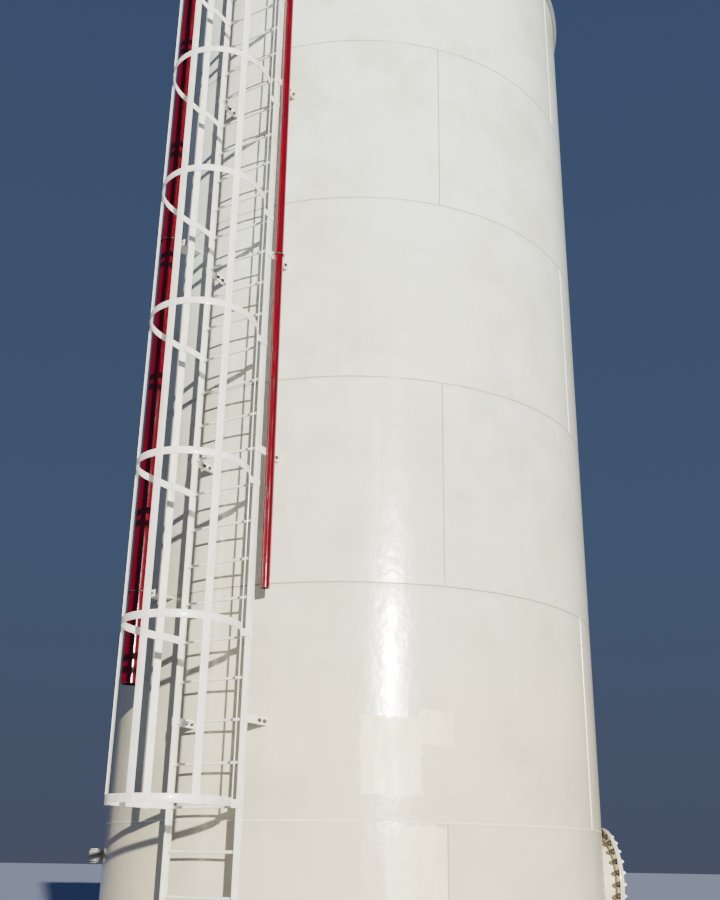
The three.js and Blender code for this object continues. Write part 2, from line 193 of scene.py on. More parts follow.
def to_mesh(name: str, body: Body, material: bpy.types.Material, sharp: float = 35.0) -> bpy.types.Object:
    """Makes a mesh object at the origin from a body.

    Args:
        name: Name of the object.
        body: Points and faces.
        material: Finish of the whole object.
        sharp: Edges over this angle in degrees stay crisp.

    Returns:
        The object.
    """
    mesh = bpy.data.meshes.new(name)
    mesh.from_pydata([tuple(p) for p in body.points], [], body.faces)
    sheet = bmesh.new()
    sheet.from_mesh(mesh)
    bmesh.ops.recalc_face_normals(sheet, faces=sheet.faces)
    sheet.to_mesh(mesh)
    sheet.free()
    mesh.shade_smooth()
    mesh.set_sharp_from_angle(angle=math.radians(sharp))
    mesh.materials.append(material)
    obj = bpy.data.objects.new(name, mesh)
    bpy.context.scene.collection.objects.link(obj)
    return obj


def rounded(outline: list, radius: float, steps: int = 3) -> list:
    """Rounds the corners of a flat outline.

    Args:
        outline: Corner points in order.
        radius: Radius of the rounding.
        steps: Points along each corner, less one.

    Returns:
        The new outline.
    """
    result = []
    count = len(outline)
    for i, corner in enumerate(outline):
        here = Vector(corner)
        back = Vector(outline[i - 1]) - here
        ahead = Vector(outline[(i + 1) % count]) - here
        reach = min(radius, back.length * 0.45, ahead.length * 0.45)
        first = here + back.normalized() * reach
        last = here + ahead.normalized() * reach
        for step in range(steps + 1):
            t = step / steps
            result.append(tuple((1 - t) ** 2 * first + 2 * t * (1 - t) * here + t * t * last))
    return result


def bar(size: tuple, centre: tuple, bevel: float = 0.0012) -> Body:
    """Builds a flat bar with softened edges.

    Args:
        size: Length along X, Y and Z.
        centre: Middle of the bar.
        bevel: Width of the softened edge.

    Returns:
        The bar.
    """
    block = bmesh.new()
    bmesh.ops.create_cube(block, size=1.0)
    bmesh.ops.scale(block, vec=size, verts=block.verts)
    bmesh.ops.bevel(block, geom=block.edges[:], offset=bevel, segments=2, profile=0.6, affect="EDGES")
    bmesh.ops.translate(block, vec=centre, verts=block.verts)
    block.verts.index_update()
    body = Body([v.co.copy() for v in block.verts], [tuple(v.index for v in f.verts) for f in block.faces])
    block.free()
    return body


def revolve(profile: list, sides: int, place: Matrix = Matrix()) -> Body:
    """Turns a profile about local Z.

    Args:
        profile: Points of radius and height. It is closed, or starts and ends on the axis.
        sides: Faces round the axis.
        place: Where the turned form goes.

    Returns:
        The closed form.
    """
    points, rings = [], []
    for radius, height in profile:
        if radius < 1e-6:
            rings.append([len(points)] * sides)
            points.append(Vector((0, 0, height)))
            continue
        rings.append(list(range(len(points), len(points) + sides)))
        for i in range(sides):
            turn = 2 * math.pi * i / sides
            points.append(Vector((radius * math.cos(turn), radius * math.sin(turn), height)))
    on_axis = profile[0][0] < 1e-6 and profile[-1][0] < 1e-6
    pairs = list(zip(rings, rings[1:])) + ([] if on_axis else [(rings[-1], rings[0])])
    faces = []
    for low, high in pairs:
        for i in range(sides):
            j = (i + 1) % sides
            corners = [low[i], low[j], high[j], high[i]]
            face = tuple(dict.fromkeys(corners))
            if len(face) > 2:
                faces.append(face)
    return Body([place @ p for p in points], faces)


def sweep(path: list, section: list, up: Vector | None = None) -> Body:
    """Draws a section along a path and closes both ends.

    Args:
        path: Points of the path.
        section: Outline as offsets to the side and up.
        up: Fixed up direction, or none to carry it along the path.

    Returns:
        The closed form.
    """
    points, faces = [], []
    count = len(section)
    carried = up
    for i, here in enumerate(path):
        before = path[max(i - 1, 0)]
        after = path[min(i + 1, len(path) - 1)]
        arriving = (here - before).normalized() if i else (after - here).normalized()
        leaving = (after - here).normalized() if i < len(path) - 1 else arriving
        along = (arriving + leaving).normalized()
        if carried is None:
            carried = along.orthogonal().normalized()
        high = (carried - along * carried.dot(along)).normalized()
        side = along.cross(high)
        stretch = 1 / max(along.dot(leaving), 0.5)
        bend = (leaving - arriving)
        outward = bend.normalized() if bend.length > 1e-5 else Vector((0, 0, 0))
        for a, b in section:
            offset = side * a + high * b
            offset += outward * offset.dot(outward) * (stretch - 1)
            points.append(here + offset)
        carried = up or high
        if i:
            start = (i - 1) * count
            for k in range(count):
                j = (k + 1) % count
                faces.append((start + k, start + j, start + count + j, start + count + k))
    last = (len(path) - 1) * count
    faces.append(tuple(reversed(range(count))))
    faces.append(tuple(range(last, last + count)))
    return Body(points, faces)


def circle(radius: float, sides: int) -> list:
    """Outline of a circle."""
    return [(radius * math.cos(2 * math.pi * i / sides), radius * math.sin(2 * math.pi * i / sides))
            for i in range(sides)]


def hollow(path: list, radius: float, wall: float, sides: int) -> Body:
    """Builds a pipe with a real wall and open ends.

    Args:
        path: Points of the pipe's axis.
        radius: Outer radius.
        wall: Thickness of the wall.
        sides: Faces round the pipe.

    Returns:
        The pipe, with both ends closed between the outer and the inner wall.
    """
    outside = sweep(path, circle(radius, sides))
    inside = sweep(path, circle(radius - wall, sides))
    faces = outside.faces[:-2]
    shift = len(outside.points)
    faces += [tuple(i + shift for i in reversed(face)) for face in inside.faces[:-2]]
    for start in (0, shift - sides):
        for k in range(sides):
            j = (k + 1) % sides
            faces.append((start + k, start + j, start + j + shift, start + k + shift))
    return Body(outside.points + inside.points, faces)


def arc(centre: Vector, start: Vector, end: Vector, steps: int) -> list:
    """Finds the points of a quarter bend from one point to another about a centre.

    Args:
        centre: Middle of the bend.
        start: First point.
        end: Last point.
        steps: Parts that the bend has.

    Returns:
        The points.
    """
    first, last = start - centre, end - centre
    return [centre + first * math.cos(t) + last * math.sin(t)
            for t in (math.pi / 2 * k / steps for k in range(steps + 1))]


class NodeMaker:
    """A Geometry Nodes tree with named inputs, set on an object and then turned into plain mesh."""

    def __init__(self, name: str, inputs: dict) -> None:
        """Creates the tree.

        Args:
            name: Name of the tree.
            inputs: Input name to socket type.
        """
        self.tree = bpy.data.node_groups.new(name, "GeometryNodeTree")
        sockets = {"Geometry": "NodeSocketGeometry", **inputs, "Finish": "NodeSocketMaterial"}
        self.identifiers = {}
        for label, kind in sockets.items():
            socket = self.tree.interface.new_socket(label, in_out="INPUT", socket_type=kind)
            self.identifiers[label] = socket.identifier
        self.tree.interface.new_socket("Geometry", in_out="OUTPUT", socket_type="NodeSocketGeometry")
        self.entry = add_node(self.tree, "NodeGroupInput")

    def input(self, label: str) -> bpy.types.NodeSocket:
        """Returns the output of the tree's input node that carries a named input."""
        return self.entry.outputs[label]

    def end(self, geometry: bpy.types.Node) -> None:
        """Closes the tree with Realize Instances and Set Material.

        Args:
            geometry: The node whose result the tree gives.
        """
        real = add_node(self.tree, "GeometryNodeRealizeInstances", links={0: geometry})
        dressed = add_node(self.tree, "GeometryNodeSetMaterial",
                           links={"Geometry": real, "Material": self.input("Finish")})
        add_node(self.tree, "NodeGroupOutput", links={0: dressed})

    def bake(self, name: str, points: list, edges: list, values: dict, material: bpy.types.Material,
             aims: list | None = None, smooth: float = 35.0) -> bpy.types.Object:
        """Runs the tree on some points and keeps the result as a mesh object.

        Args:
            name: Name of the new object.
            points: Points that the tree starts from.
            edges: Edges between them.
            values: Input name to value.
            material: Finish of the result.
            aims: One direction for each point, for what is placed on it.
            smooth: Edges over this angle in degrees stay crisp.

        Returns:
            The object, at the origin and without modifiers.
        """
        mesh = bpy.data.meshes.new(name + "_path")
        mesh.from_pydata([tuple(p) for p in points], edges, [])
        if aims:
            layer = mesh.attributes.new("aim", "FLOAT_VECTOR", "POINT")
            layer.data.foreach_set("vector", [c for aim in aims for c in aim])
        obj = bpy.data.objects.new(name, mesh)
        bpy.context.scene.collection.objects.link(obj)
        modifier = obj.modifiers.new("Build", "NODES")
        modifier.node_group = self.tree
        for label, value in {**values, "Finish": material}.items():
            modifier[self.identifiers[label]] = value
        graph = bpy.context.evaluated_depsgraph_get()
        result = bpy.data.meshes.new_from_object(obj.evaluated_get(graph), depsgraph=graph)
        obj.modifiers.clear()
        obj.data = result
        result.name = name
        if not result.materials:
            result.materials.append(material)
        result.shade_smooth()
        result.set_sharp_from_angle(angle=math.radians(smooth))
        return obj


def weld_maker() -> NodeMaker:
    """Builds the tree that lays a weld bead along a path.

    Returns:
        The tree, with inputs Width, Ripple, Seed and Step.
    """
    maker = NodeMaker("weld_bead", {"Width": "NodeSocketFloat", "Ripple": "NodeSocketFloat",
                                    "Seed": "NodeSocketFloat", "Step": "NodeSocketFloat"})
    tree = maker.tree
    curve = add_node(tree, "GeometryNodeMeshToCurve", links={"Mesh": maker.input("Geometry")})
    even = add_node(tree, "GeometryNodeResampleCurve", {"mode": "LENGTH"},
                    {"Curve": curve, "Length": maker.input("Step")})
    half = add_node(tree, "ShaderNodeMath", {"operation": "MULTIPLY", 1: 0.5}, {0: maker.input("Width")})
    ring = add_node(tree, "GeometryNodeCurvePrimitiveCircle", {"Resolution": 8}, {"Radius": half})
    bead = add_node(tree, "GeometryNodeCurveToMesh", {"Fill Caps": True},
                    {"Curve": even, "Profile Curve": ring.outputs["Curve"]})
    wave = add_node(tree, "ShaderNodeTexNoise", {"noise_dimensions": "4D", "Scale": 55.0, "Detail": 2.0},
                    {"W": maker.input("Seed")})
    centred = add_node(tree, "ShaderNodeMath", {"operation": "SUBTRACT", 1: 0.5}, {0: wave})
    amount = add_node(tree, "ShaderNodeMath", {"operation": "MULTIPLY"},
                      {0: centred, 1: maker.input("Ripple")})
    normal = add_node(tree, "GeometryNodeInputNormal")
    push = add_node(tree, "ShaderNodeVectorMath", {"operation": "SCALE"}, {0: normal, "Scale": amount})
    moved = add_node(tree, "GeometryNodeSetPosition", links={"Geometry": bead, "Offset": push})
    maker.end(moved)
    return maker


def fastener_maker() -> NodeMaker:
    """Builds the tree that stands a copy of one part on each point, along the point's aim.

    Returns:
        The tree, with inputs Part, Seed and Spin.
    """
    maker = NodeMaker("fastener_rows", {"Part": "NodeSocketObject", "Seed": "NodeSocketInt",
                                        "Spin": "NodeSocketFloat"})
    tree = maker.tree
    aim = add_node(tree, "GeometryNodeInputNamedAttribute", {"data_type": "FLOAT_VECTOR", "Name": "aim"})
    turn = add_node(tree, "FunctionNodeAlignRotationToVector", {"axis": "Z"}, {"Vector": aim})
    part = add_node(tree, "GeometryNodeObjectInfo", {"transform_space": "ORIGINAL"},
                    {"Object": maker.input("Part")})
    rows = add_node(tree, "GeometryNodeInstanceOnPoints", links={
        "Points": maker.input("Geometry"), "Instance": part.outputs["Geometry"], "Rotation": turn})
    chance = add_node(tree, "FunctionNodeRandomValue", {"data_type": "FLOAT"},
                      {"Seed": maker.input("Seed"), 3: maker.input("Spin")})
    spin = add_node(tree, "ShaderNodeCombineXYZ", links={"Z": chance.outputs[1]})
    turned = add_node(tree, "GeometryNodeRotateInstances", links={"Instances": rows, "Rotation": spin})
    maker.end(turned)
    return maker


def ladder_maker() -> NodeMaker:
    """Builds the tree that repeats a rung upwards at an even pitch.

    Returns:
        The tree, with inputs Rung, Count and Pitch.
    """
    maker = NodeMaker("rung_row", {"Rung": "NodeSocketObject", "Count": "NodeSocketInt",
                                   "Pitch": "NodeSocketVector"})
    tree = maker.tree
    line = add_node(tree, "GeometryNodeMeshLine", {"mode": "OFFSET"},
                    {"Count": maker.input("Count"), "Offset": maker.input("Pitch")})
    part = add_node(tree, "GeometryNodeObjectInfo", {"transform_space": "ORIGINAL"},
                    {"Object": maker.input("Rung")})
    rows = add_node(tree, "GeometryNodeInstanceOnPoints",
                    links={"Points": line, "Instance": part.outputs["Geometry"]})
    maker.end(rows)
    return maker


def hoop_maker() -> NodeMaker:
    """Builds the tree that bends a flat bar, on edge, along a path in plan.

    Returns:
        The tree, with inputs Height, Thickness and Soft.
    """
    maker = NodeMaker("bent_flat_bar", {"Height": "NodeSocketFloat", "Thickness": "NodeSocketFloat",
                                        "Soft": "NodeSocketFloat"})
    tree = maker.tree
    curve = add_node(tree, "GeometryNodeMeshToCurve", links={"Mesh": maker.input("Geometry")})
    upright = add_node(tree, "GeometryNodeSetCurveNormal", {"mode": "Z_UP"}, {"Curve": curve})
    section = add_node(tree, "GeometryNodeCurvePrimitiveQuadrilateral", {"mode": "RECTANGLE"},
                       {"Width": maker.input("Thickness"), "Height": maker.input("Height")})
    soft = add_node(tree, "GeometryNodeFilletCurve", {"mode": "POLY", "Count": 2},
                    {"Curve": section, "Radius": maker.input("Soft")})
    bent = add_node(tree, "GeometryNodeCurveToMesh", {"Fill Caps": True},
                    {"Curve": upright, "Profile Curve": soft})
    maker.end(bent)
    return maker


@dataclass(frozen=True)
class Patch:
    """A brushed or rolled spot on the shell, by azimuth in degrees and height in metres."""

    left: float
    right: float
    low: float
    high: float
    strength: float
    edge: float = 0.008


@dataclass(frozen=True)
class ShellEnamel:
    """Gloss alkyd enamel rolled onto steel plate: soft sheen with an orange peel and faint lap marks."""

    name: str = "cream_alkyd_enamel"
    body: str = "#D9CFB2"
    # Cool colour of the upper courses, a painted sky reflection
    high: str = "#E2ECE1"
    dull: str = "#B9B698"
    fresh: str = "#F0E9BF"
    grime_and_shade: str = "#857F6F"
    touched: tuple = (
        Patch(32.0, 43.8, 2.02, 2.60, 1.0), Patch(43.5, 50.3, 2.40, 2.66, 0.8),
        Patch(37.1, 49.0, 1.27, 1.80, 0.9), Patch(12.5, 21.0, 2.20, 2.46, 0.2, 0.05),
        Patch(-62.0, -55.0, 3.30, 3.70, 0.6), Patch(152.0, 160.0, 1.9, 2.4, 0.7),
    )
    smudged: tuple = (
        Patch(60.1, 65.6, 4.22, 5.20, 0.7, 0.25), Patch(44.0, 52.0, 1.88, 1.98, 0.8, 0.05),
        Patch(20.0, 26.0, 6.1, 6.9, 0.4, 0.3), Patch(-80.0, -72.0, 4.4, 5.4, 0.5, 0.3),
    )

    def mask(self, tree: bpy.types.NodeTree, wall: bpy.types.Node, wobble: bpy.types.Node,
             patch: Patch) -> bpy.types.Node:
        """Adds the nodes that are 1 inside a patch and 0 outside it.

        Args:
            tree: Material's node tree.
            wall: Arc length and height over the wall, in metres.
            wobble: Noise that makes the edge uneven.
            patch: The spot.

        Returns:
            The last node.
        """
        to_arc = math.radians(1) * OUTER
        middle = ((patch.left + patch.right) / 2 * to_arc, (patch.low + patch.high) / 2, 0)
        half = ((patch.right - patch.left) / 2 * to_arc, (patch.high - patch.low) / 2, 1)
        off = add_node(tree, "ShaderNodeVectorMath", {"operation": "SUBTRACT", 1: middle}, {0: wall})
        size = add_node(tree, "ShaderNodeVectorMath", {"operation": "ABSOLUTE"}, {0: off})
        over = add_node(tree, "ShaderNodeVectorMath", {"operation": "SUBTRACT", 1: half}, {0: size})
        parts = add_node(tree, "ShaderNodeSeparateXYZ", links={0: over})
        worst = add_node(tree, "ShaderNodeMath", {"operation": "MAXIMUM"},
                         {0: parts.outputs[0], 1: parts.outputs[1]})
        rough = add_node(tree, "ShaderNodeMath", {"operation": "ADD"}, {0: worst, 1: wobble})
        return add_node(tree, "ShaderNodeMapRange", {
            "interpolation_type": "SMOOTHSTEP", 1: -patch.edge, 2: patch.edge, 3: patch.strength, 4: 0.0,
        }, {0: rough})

    def build(self) -> bpy.types.Material:
        """Mixes the enamel with clouds, touched-up spots, smudges, painted sky and ground light, dirt and painted
        shadow under welds, and rolled waves.

        Returns:
            The material.
        """
        material = bpy.data.materials.new(self.name)
        material.use_nodes = True
        tree = material.node_tree
        shader = tree.nodes["Principled BSDF"]
        place = add_node(tree, "ShaderNodeTexCoord").outputs["Object"]
        axes = add_node(tree, "ShaderNodeSeparateXYZ", links={0: place})
        ahead = add_node(tree, "ShaderNodeMath", {"operation": "MULTIPLY", 1: -1.0}, {0: axes.outputs[1]})
        turn = add_node(tree, "ShaderNodeMath", {"operation": "ARCTAN2"}, {0: axes.outputs[0], 1: ahead})
        length = add_node(tree, "ShaderNodeMath", {"operation": "MULTIPLY", 1: OUTER}, {0: turn})
        wall = add_node(tree, "ShaderNodeCombineXYZ", links={0: length, 1: axes.outputs[2]})
        # Broad clouds of 0.6 m and vertical streaks of 30 mm that rain has drawn
        cloud = add_node(tree, "ShaderNodeTexNoise", {"Scale": 1.6, "Detail": 5.0, "Roughness": 0.6},
                         {"Vector": place})
        tall = add_node(tree, "ShaderNodeMapping", {"Scale": (9.0, 9.0, 0.55)}, {"Vector": place})
        streak = add_node(tree, "ShaderNodeTexNoise", {"Scale": 1.6, "Detail": 3.0}, {"Vector": tall})
        streaks = add_node(tree, "ShaderNodeMapRange", {1: 0.56, 2: 0.80, 3: 0.0, 4: 0.55}, {0: streak})
        # Lap marks of a 230 mm roller
        lap = add_node(tree, "ShaderNodeTexWave", {
            "wave_type": "BANDS", "bands_direction": "X", "wave_profile": "SAW", "Scale": 0.68,
            "Distortion": 1.6, "Detail": 2.0, "Detail Scale": 0.8}, {"Vector": wall})
        mottle = add_node(tree, "ShaderNodeMapRange", {1: 0.44, 2: 0.70, 3: 0.0, 4: 0.55}, {0: cloud})
        # Painted light: the enamel runs from warm below 1.5 m, a painted bounce off the ground, to cool at 8 m, a
        # painted sky reflection
        painted_sky_share = add_node(tree, "ShaderNodeMapRange", {1: 1.5, 2: 8.0}, {0: axes.outputs[2]})
        body_and_painted_sky = add_node(tree, "ShaderNodeMix", {"data_type": "RGBA", 6: linear(self.body), 7: linear(self.high)},
                         {0: painted_sky_share})
        base = add_node(tree, "ShaderNodeMix", {"data_type": "RGBA", 7: linear(self.dull)},
                        {0: mottle, 6: body_and_painted_sky.outputs[2]})
        fine = add_node(tree, "ShaderNodeTexNoise", {"Scale": 14.0, "Detail": 3.0}, {"Vector": place})
        wobble = add_node(tree, "ShaderNodeMapRange", {1: 0.3, 2: 0.7, 3: -0.016, 4: 0.016}, {0: fine})
        colour = base.outputs[2]
        gloss = None
        thin = add_node(tree, "ShaderNodeTexNoise", {"Scale": 3.4, "Detail": 3.0, "Roughness": 0.6}, {
            "Vector": add_node(tree, "ShaderNodeMapping", {"Scale": (4.0, 4.0, 1.0)}, {"Vector": place})})
        cover = add_node(tree, "ShaderNodeMapRange", {1: 0.35, 2: 0.60, 3: 0.45, 4: 1.0}, {0: thin})
        for patch in self.touched:
            whole = self.mask(tree, wall, wobble, patch)
            mask = add_node(tree, "ShaderNodeMath", {"operation": "MULTIPLY"}, {0: whole, 1: cover})
            colour = add_node(tree, "ShaderNodeMix", {"data_type": "RGBA", 7: linear(self.fresh)},
                              {0: mask, 6: colour}).outputs[2]
            gloss = mask if gloss is None else add_node(
                tree, "ShaderNodeMath", {"operation": "MAXIMUM"}, {0: gloss, 1: mask})
        smear_noise = add_node(tree, "ShaderNodeTexNoise", {"Scale": 5.0, "Detail": 6.0, "Roughness": 0.7},
                               {"Vector": place})
        smear_amount = add_node(tree, "ShaderNodeMapRange", {1: 0.45, 2: 0.75, 3: 0.0, 4: 0.34},
                                {0: smear_noise})
        for patch in self.smudged:
            mask = self.mask(tree, wall, wobble, patch)
            part = add_node(tree, "ShaderNodeMath", {"operation": "MULTIPLY"}, {0: mask, 1: smear_amount})
            colour = add_node(tree, "ShaderNodeMix", {"data_type": "RGBA", 7: linear(self.grime_and_shade)},
                              {0: part, 6: colour}).outputs[2]
        # Dirt and painted shadow under each ring weld, fading within 30 mm
        course = add_node(tree, "ShaderNodeMath", {"operation": "MODULO", 1: COURSE}, {0: axes.outputs[2]})
        under_weld_shadow = add_node(tree, "ShaderNodeMapRange", {1: COURSE - 0.045, 2: COURSE - 0.006, 3: 0.0, 4: 1.0},
                         {0: course})
        uneven = add_node(tree, "ShaderNodeMapRange", {1: 0.4, 2: 0.7, 3: 0.04, 4: 0.26}, {0: fine})
        weld_dirt_and_shadow = add_node(tree, "ShaderNodeMath", {"operation": "MULTIPLY"}, {0: under_weld_shadow, 1: uneven})
        rain = add_node(tree, "ShaderNodeMath", {"operation": "MULTIPLY", 1: 0.16}, {0: streaks})
        stains_and_weld_shadow = add_node(tree, "ShaderNodeMath", {"operation": "MAXIMUM"}, {0: weld_dirt_and_shadow, 1: rain})
        colour = add_node(tree, "ShaderNodeMix", {"data_type": "RGBA", 7: linear(self.grime_and_shade)},
                          {0: stains_and_weld_shadow, 6: colour}).outputs[2]
        tree.links.new(colour, shader.inputs["Base Color"])
        sheen = add_node(tree, "ShaderNodeMapRange", {1: 0.3, 2: 0.7, 3: 0.13, 4: 0.22}, {0: cloud})
        laps = add_node(tree, "ShaderNodeMath", {"operation": "MULTIPLY_ADD", 1: 0.05}, {0: lap, 2: sheen})
        shine = add_node(tree, "ShaderNodeMath", {"operation": "MULTIPLY", 1: 0.26}, {0: gloss})
        rough = add_node(tree, "ShaderNodeMath", {"operation": "ADD"}, {0: laps, 1: shine})
        tree.links.new(rough.outputs[0], shader.inputs["Roughness"])
        # Waves of 120 mm in the rolled plate, down to a roller stipple of 8 mm
        peel = add_node(tree, "ShaderNodeTexNoise", {"Scale": 8.5, "Detail": 4.0, "Roughness": 0.5}, {
            "Vector": add_node(tree, "ShaderNodeMapping", {"Scale": (1.0, 1.0, 0.8)}, {"Vector": place})})
        bump = add_node(tree, "ShaderNodeBump", {"Strength": 1.0, "Distance": 0.0029}, {"Height": peel})
        tree.links.new(bump.outputs[0], shader.inputs["Normal"])
        shader.inputs["IOR"].default_value = 1.5
        shader.inputs["Coat Weight"].default_value = 0.5
        shader.inputs["Coat Roughness"].default_value = 0.06
        return material


@dataclass(frozen=True)
class BrushedEnamel:
    """Brushed enamel on bars and pipes, with stains that run down them."""

    name: str
    body: str
    shade: str
    stain: str
    stain_amount: float
    roughness: float
    coat: float
    scale: float = 6.0
    bare: str = "#6E675E"
    worn: float = 0.0
    clear: float = 0.10

    def build(self) -> bpy.types.Material:
        """Mixes the enamel with its stains, chips and brush marks.

        Returns:
            The material.
        """
        material = bpy.data.materials.new(self.name)
        material.use_nodes = True
        tree = material.node_tree
        shader = tree.nodes["Principled BSDF"]
        place = add_node(tree, "ShaderNodeTexCoord").outputs["Object"]
        cloud = add_node(tree, "ShaderNodeTexNoise", {"Scale": self.scale, "Detail": 4.0}, {"Vector": place})
        mottle = add_node(tree, "ShaderNodeMapRange", {1: 0.35, 2: 0.7, 3: 0.0, 4: 1.0}, {0: cloud})
        base = add_node(tree, "ShaderNodeMix",
                        {"data_type": "RGBA", 6: linear(self.body), 7: linear(self.shade)}, {0: mottle})
        # Stains are 20 to 60 mm wide and run down the bar
        tall = add_node(tree, "ShaderNodeMapping", {"Scale": (14.0, 14.0, 2.2)}, {"Vector": place})
        drip = add_node(tree, "ShaderNodeTexNoise", {"Scale": 2.0, "Detail": 5.0, "Roughness": 0.6},
                        {"Vector": tall})
        drips = add_node(tree, "ShaderNodeMapRange", {1: 0.55, 2: 0.74, 3: 0.0, 4: self.stain_amount},
                         {0: drip})
        stained = add_node(tree, "ShaderNodeMix", {"data_type": "RGBA", 7: linear(self.stain)},
                           {0: drips, 6: base.outputs[2]})
        # Chips of about 14 mm, coarser than the real ones so that they show
        chip = add_node(tree, "ShaderNodeTexNoise", {"Scale": 70.0, "Detail": 3.0}, {"Vector": place})
        chips = add_node(tree, "ShaderNodeMapRange", {1: 0.70, 2: 0.74, 3: 0.0, 4: self.worn}, {0: chip})
        colour = add_node(tree, "ShaderNodeMix", {"data_type": "RGBA", 7: linear(self.bare)},
                          {0: chips, 6: stained.outputs[2]})
        tree.links.new(colour.outputs[2], shader.inputs["Base Color"])
        rough = add_node(tree, "ShaderNodeMapRange", {
            1: 0.3, 2: 0.7, 3: self.roughness - 0.05, 4: self.roughness + 0.08}, {0: cloud})
        tree.links.new(rough.outputs[0], shader.inputs["Roughness"])
        # Brush marks and runs in the paint
        marks = add_node(tree, "ShaderNodeTexNoise", {"Scale": 3.0, "Detail": 4.0}, {
            "Vector": add_node(tree, "ShaderNodeMapping", {"Scale": (40.0, 40.0, 9.0)}, {"Vector": place})})
        bump = add_node(tree, "ShaderNodeBump", {"Strength": 0.22, "Distance": 0.0008}, {"Height": marks})
        tree.links.new(bump.outputs[0], shader.inputs["Normal"])
        shader.inputs["IOR"].default_value = 1.5
        shader.inputs["Coat Weight"].default_value = self.coat
        shader.inputs["Coat Roughness"].default_value = self.clear
        return material


@dataclass(frozen=True)
class DarkFittings:
    """Dark steel or rubber fittings: a dull skin with a second tone in its hollows."""

    name: str
    body: str
    hollow: str
    roughness: float
    metallic: float

    def build(self) -> bpy.types.Material:
        """Mixes the dark skin with its spots.

        Returns:
            The material.
        """
        material = bpy.data.materials.new(self.name)
        material.use_nodes = True
        tree = material.node_tree
        shader = tree.nodes["Principled BSDF"]
        place = add_node(tree, "ShaderNodeTexCoord").outputs["Object"]
        # Spots of 8 mm in the plating
        spots = add_node(tree, "ShaderNodeTexNoise", {"Scale": 120.0, "Detail": 4.0}, {"Vector": place})
        shares = add_node(tree, "ShaderNodeMapRange", {1: 0.42, 2: 0.62}, {0: spots})
        colour = add_node(tree, "ShaderNodeMix",
                          {"data_type": "RGBA", 6: linear(self.body), 7: linear(self.hollow)}, {0: shares})
        tree.links.new(colour.outputs[2], shader.inputs["Base Color"])
        rough = add_node(tree, "ShaderNodeMapRange", {3: self.roughness - 0.1, 4: self.roughness + 0.2},
                         {0: spots})
        tree.links.new(rough.outputs[0], shader.inputs["Roughness"])
        bump = add_node(tree, "ShaderNodeBump", {"Strength": 0.3, "Distance": 0.0004}, {"Height": spots})
        tree.links.new(bump.outputs[0], shader.inputs["Normal"])
        shader.inputs["Metallic"].default_value = self.metallic
        return material


@dataclass(frozen=True)
class Finishes:
    """Every material of the tank, built once."""

    shell: bpy.types.Material
    weld: bpy.types.Material
    proud: bpy.types.Material
    ladder: bpy.types.Material
    pipe: bpy.types.Material
    bore: bpy.types.Material
    steel: bpy.types.Material
    cap: bpy.types.Material
    bolting: bpy.types.Material
    gasket: bpy.types.Material


def build_finishes() -> Finishes:
    """Builds the tank's materials.

    Returns:
        The materials by use.
    """
    return Finishes(
        # Cream gloss enamel on plate: a soft long sheen that breaks up on rolled paint
        shell=ShellEnamel().build(),
        # Enamel over weld metal: darker than the plate, partly dust held on the ripples and partly a painted shade of
        # the bead's relief
        weld=BrushedEnamel("weld_enamel_dust_and_painted_shade", "#A39C88", "#908A78", "#6F6A5D", 0.45, 0.34, 0.3, 9.0).build(),
        # Enamel over a proud weld, lightened as a painted highlight of the bead's lit side: a bright ridge
        proud=BrushedEnamel("proud_weld_enamel_painted_highlight", "#F2EEDF", "#E4DFCC", "#B9B4A2", 0.30, 0.25, 0.4,
                            9.0).build(),
        # White enamel on bars: a trace of green and grey where water stands
        ladder=BrushedEnamel("white_brushed_enamel", "#F1F0E8", "#E2E0D2", "#ADB3A0", 0.70, 0.34, 0.25, 5.0,
                             worn=0.45).build(),
        # Signal red gloss enamel: deep colour under a clear hard shine
        pipe=BrushedEnamel("signal_red_gloss_enamel", "#5E0010", "#4C000C", "#300207", 0.40, 0.11, 0.3, 4.0,
                           clear=0.03).build(),
        # Rusty bore of a steel pipe: dry and dark
        bore=BrushedEnamel("dry_rusted_pipe_bore", "#2B1A15", "#1A1210", "#3B2218", 0.5, 0.85, 0.0, 20.0).build(),
        # Zinc plated steel gone dark in the weather: dull metal with brown in its hollows
        steel=DarkFittings("weathered_zinc_plated_steel", "#6A6763", "#4A3C32", 0.48, 0.75).build(),
        # Light grey paint over a malleable iron cap: chalky
        cap=BrushedEnamel("light_grey_painted_iron", "#918E84", "#7F7C73", "#5F5C54", 0.45, 0.45, 0.1, 18.0,
                          worn=0.4).build(),
        # Near-black bolting for the nuts behind the manway flange: dark and barely shiny
        bolting=DarkFittings("near_black_bolting", "#34322F", "#231F1B", 0.55, 0.2).build(),
        # Cut rubber sheet: black and dull
        gasket=DarkFittings("black_rubber_sheet", "#171717", "#24221F", 0.75, 0.0).build(),
    )


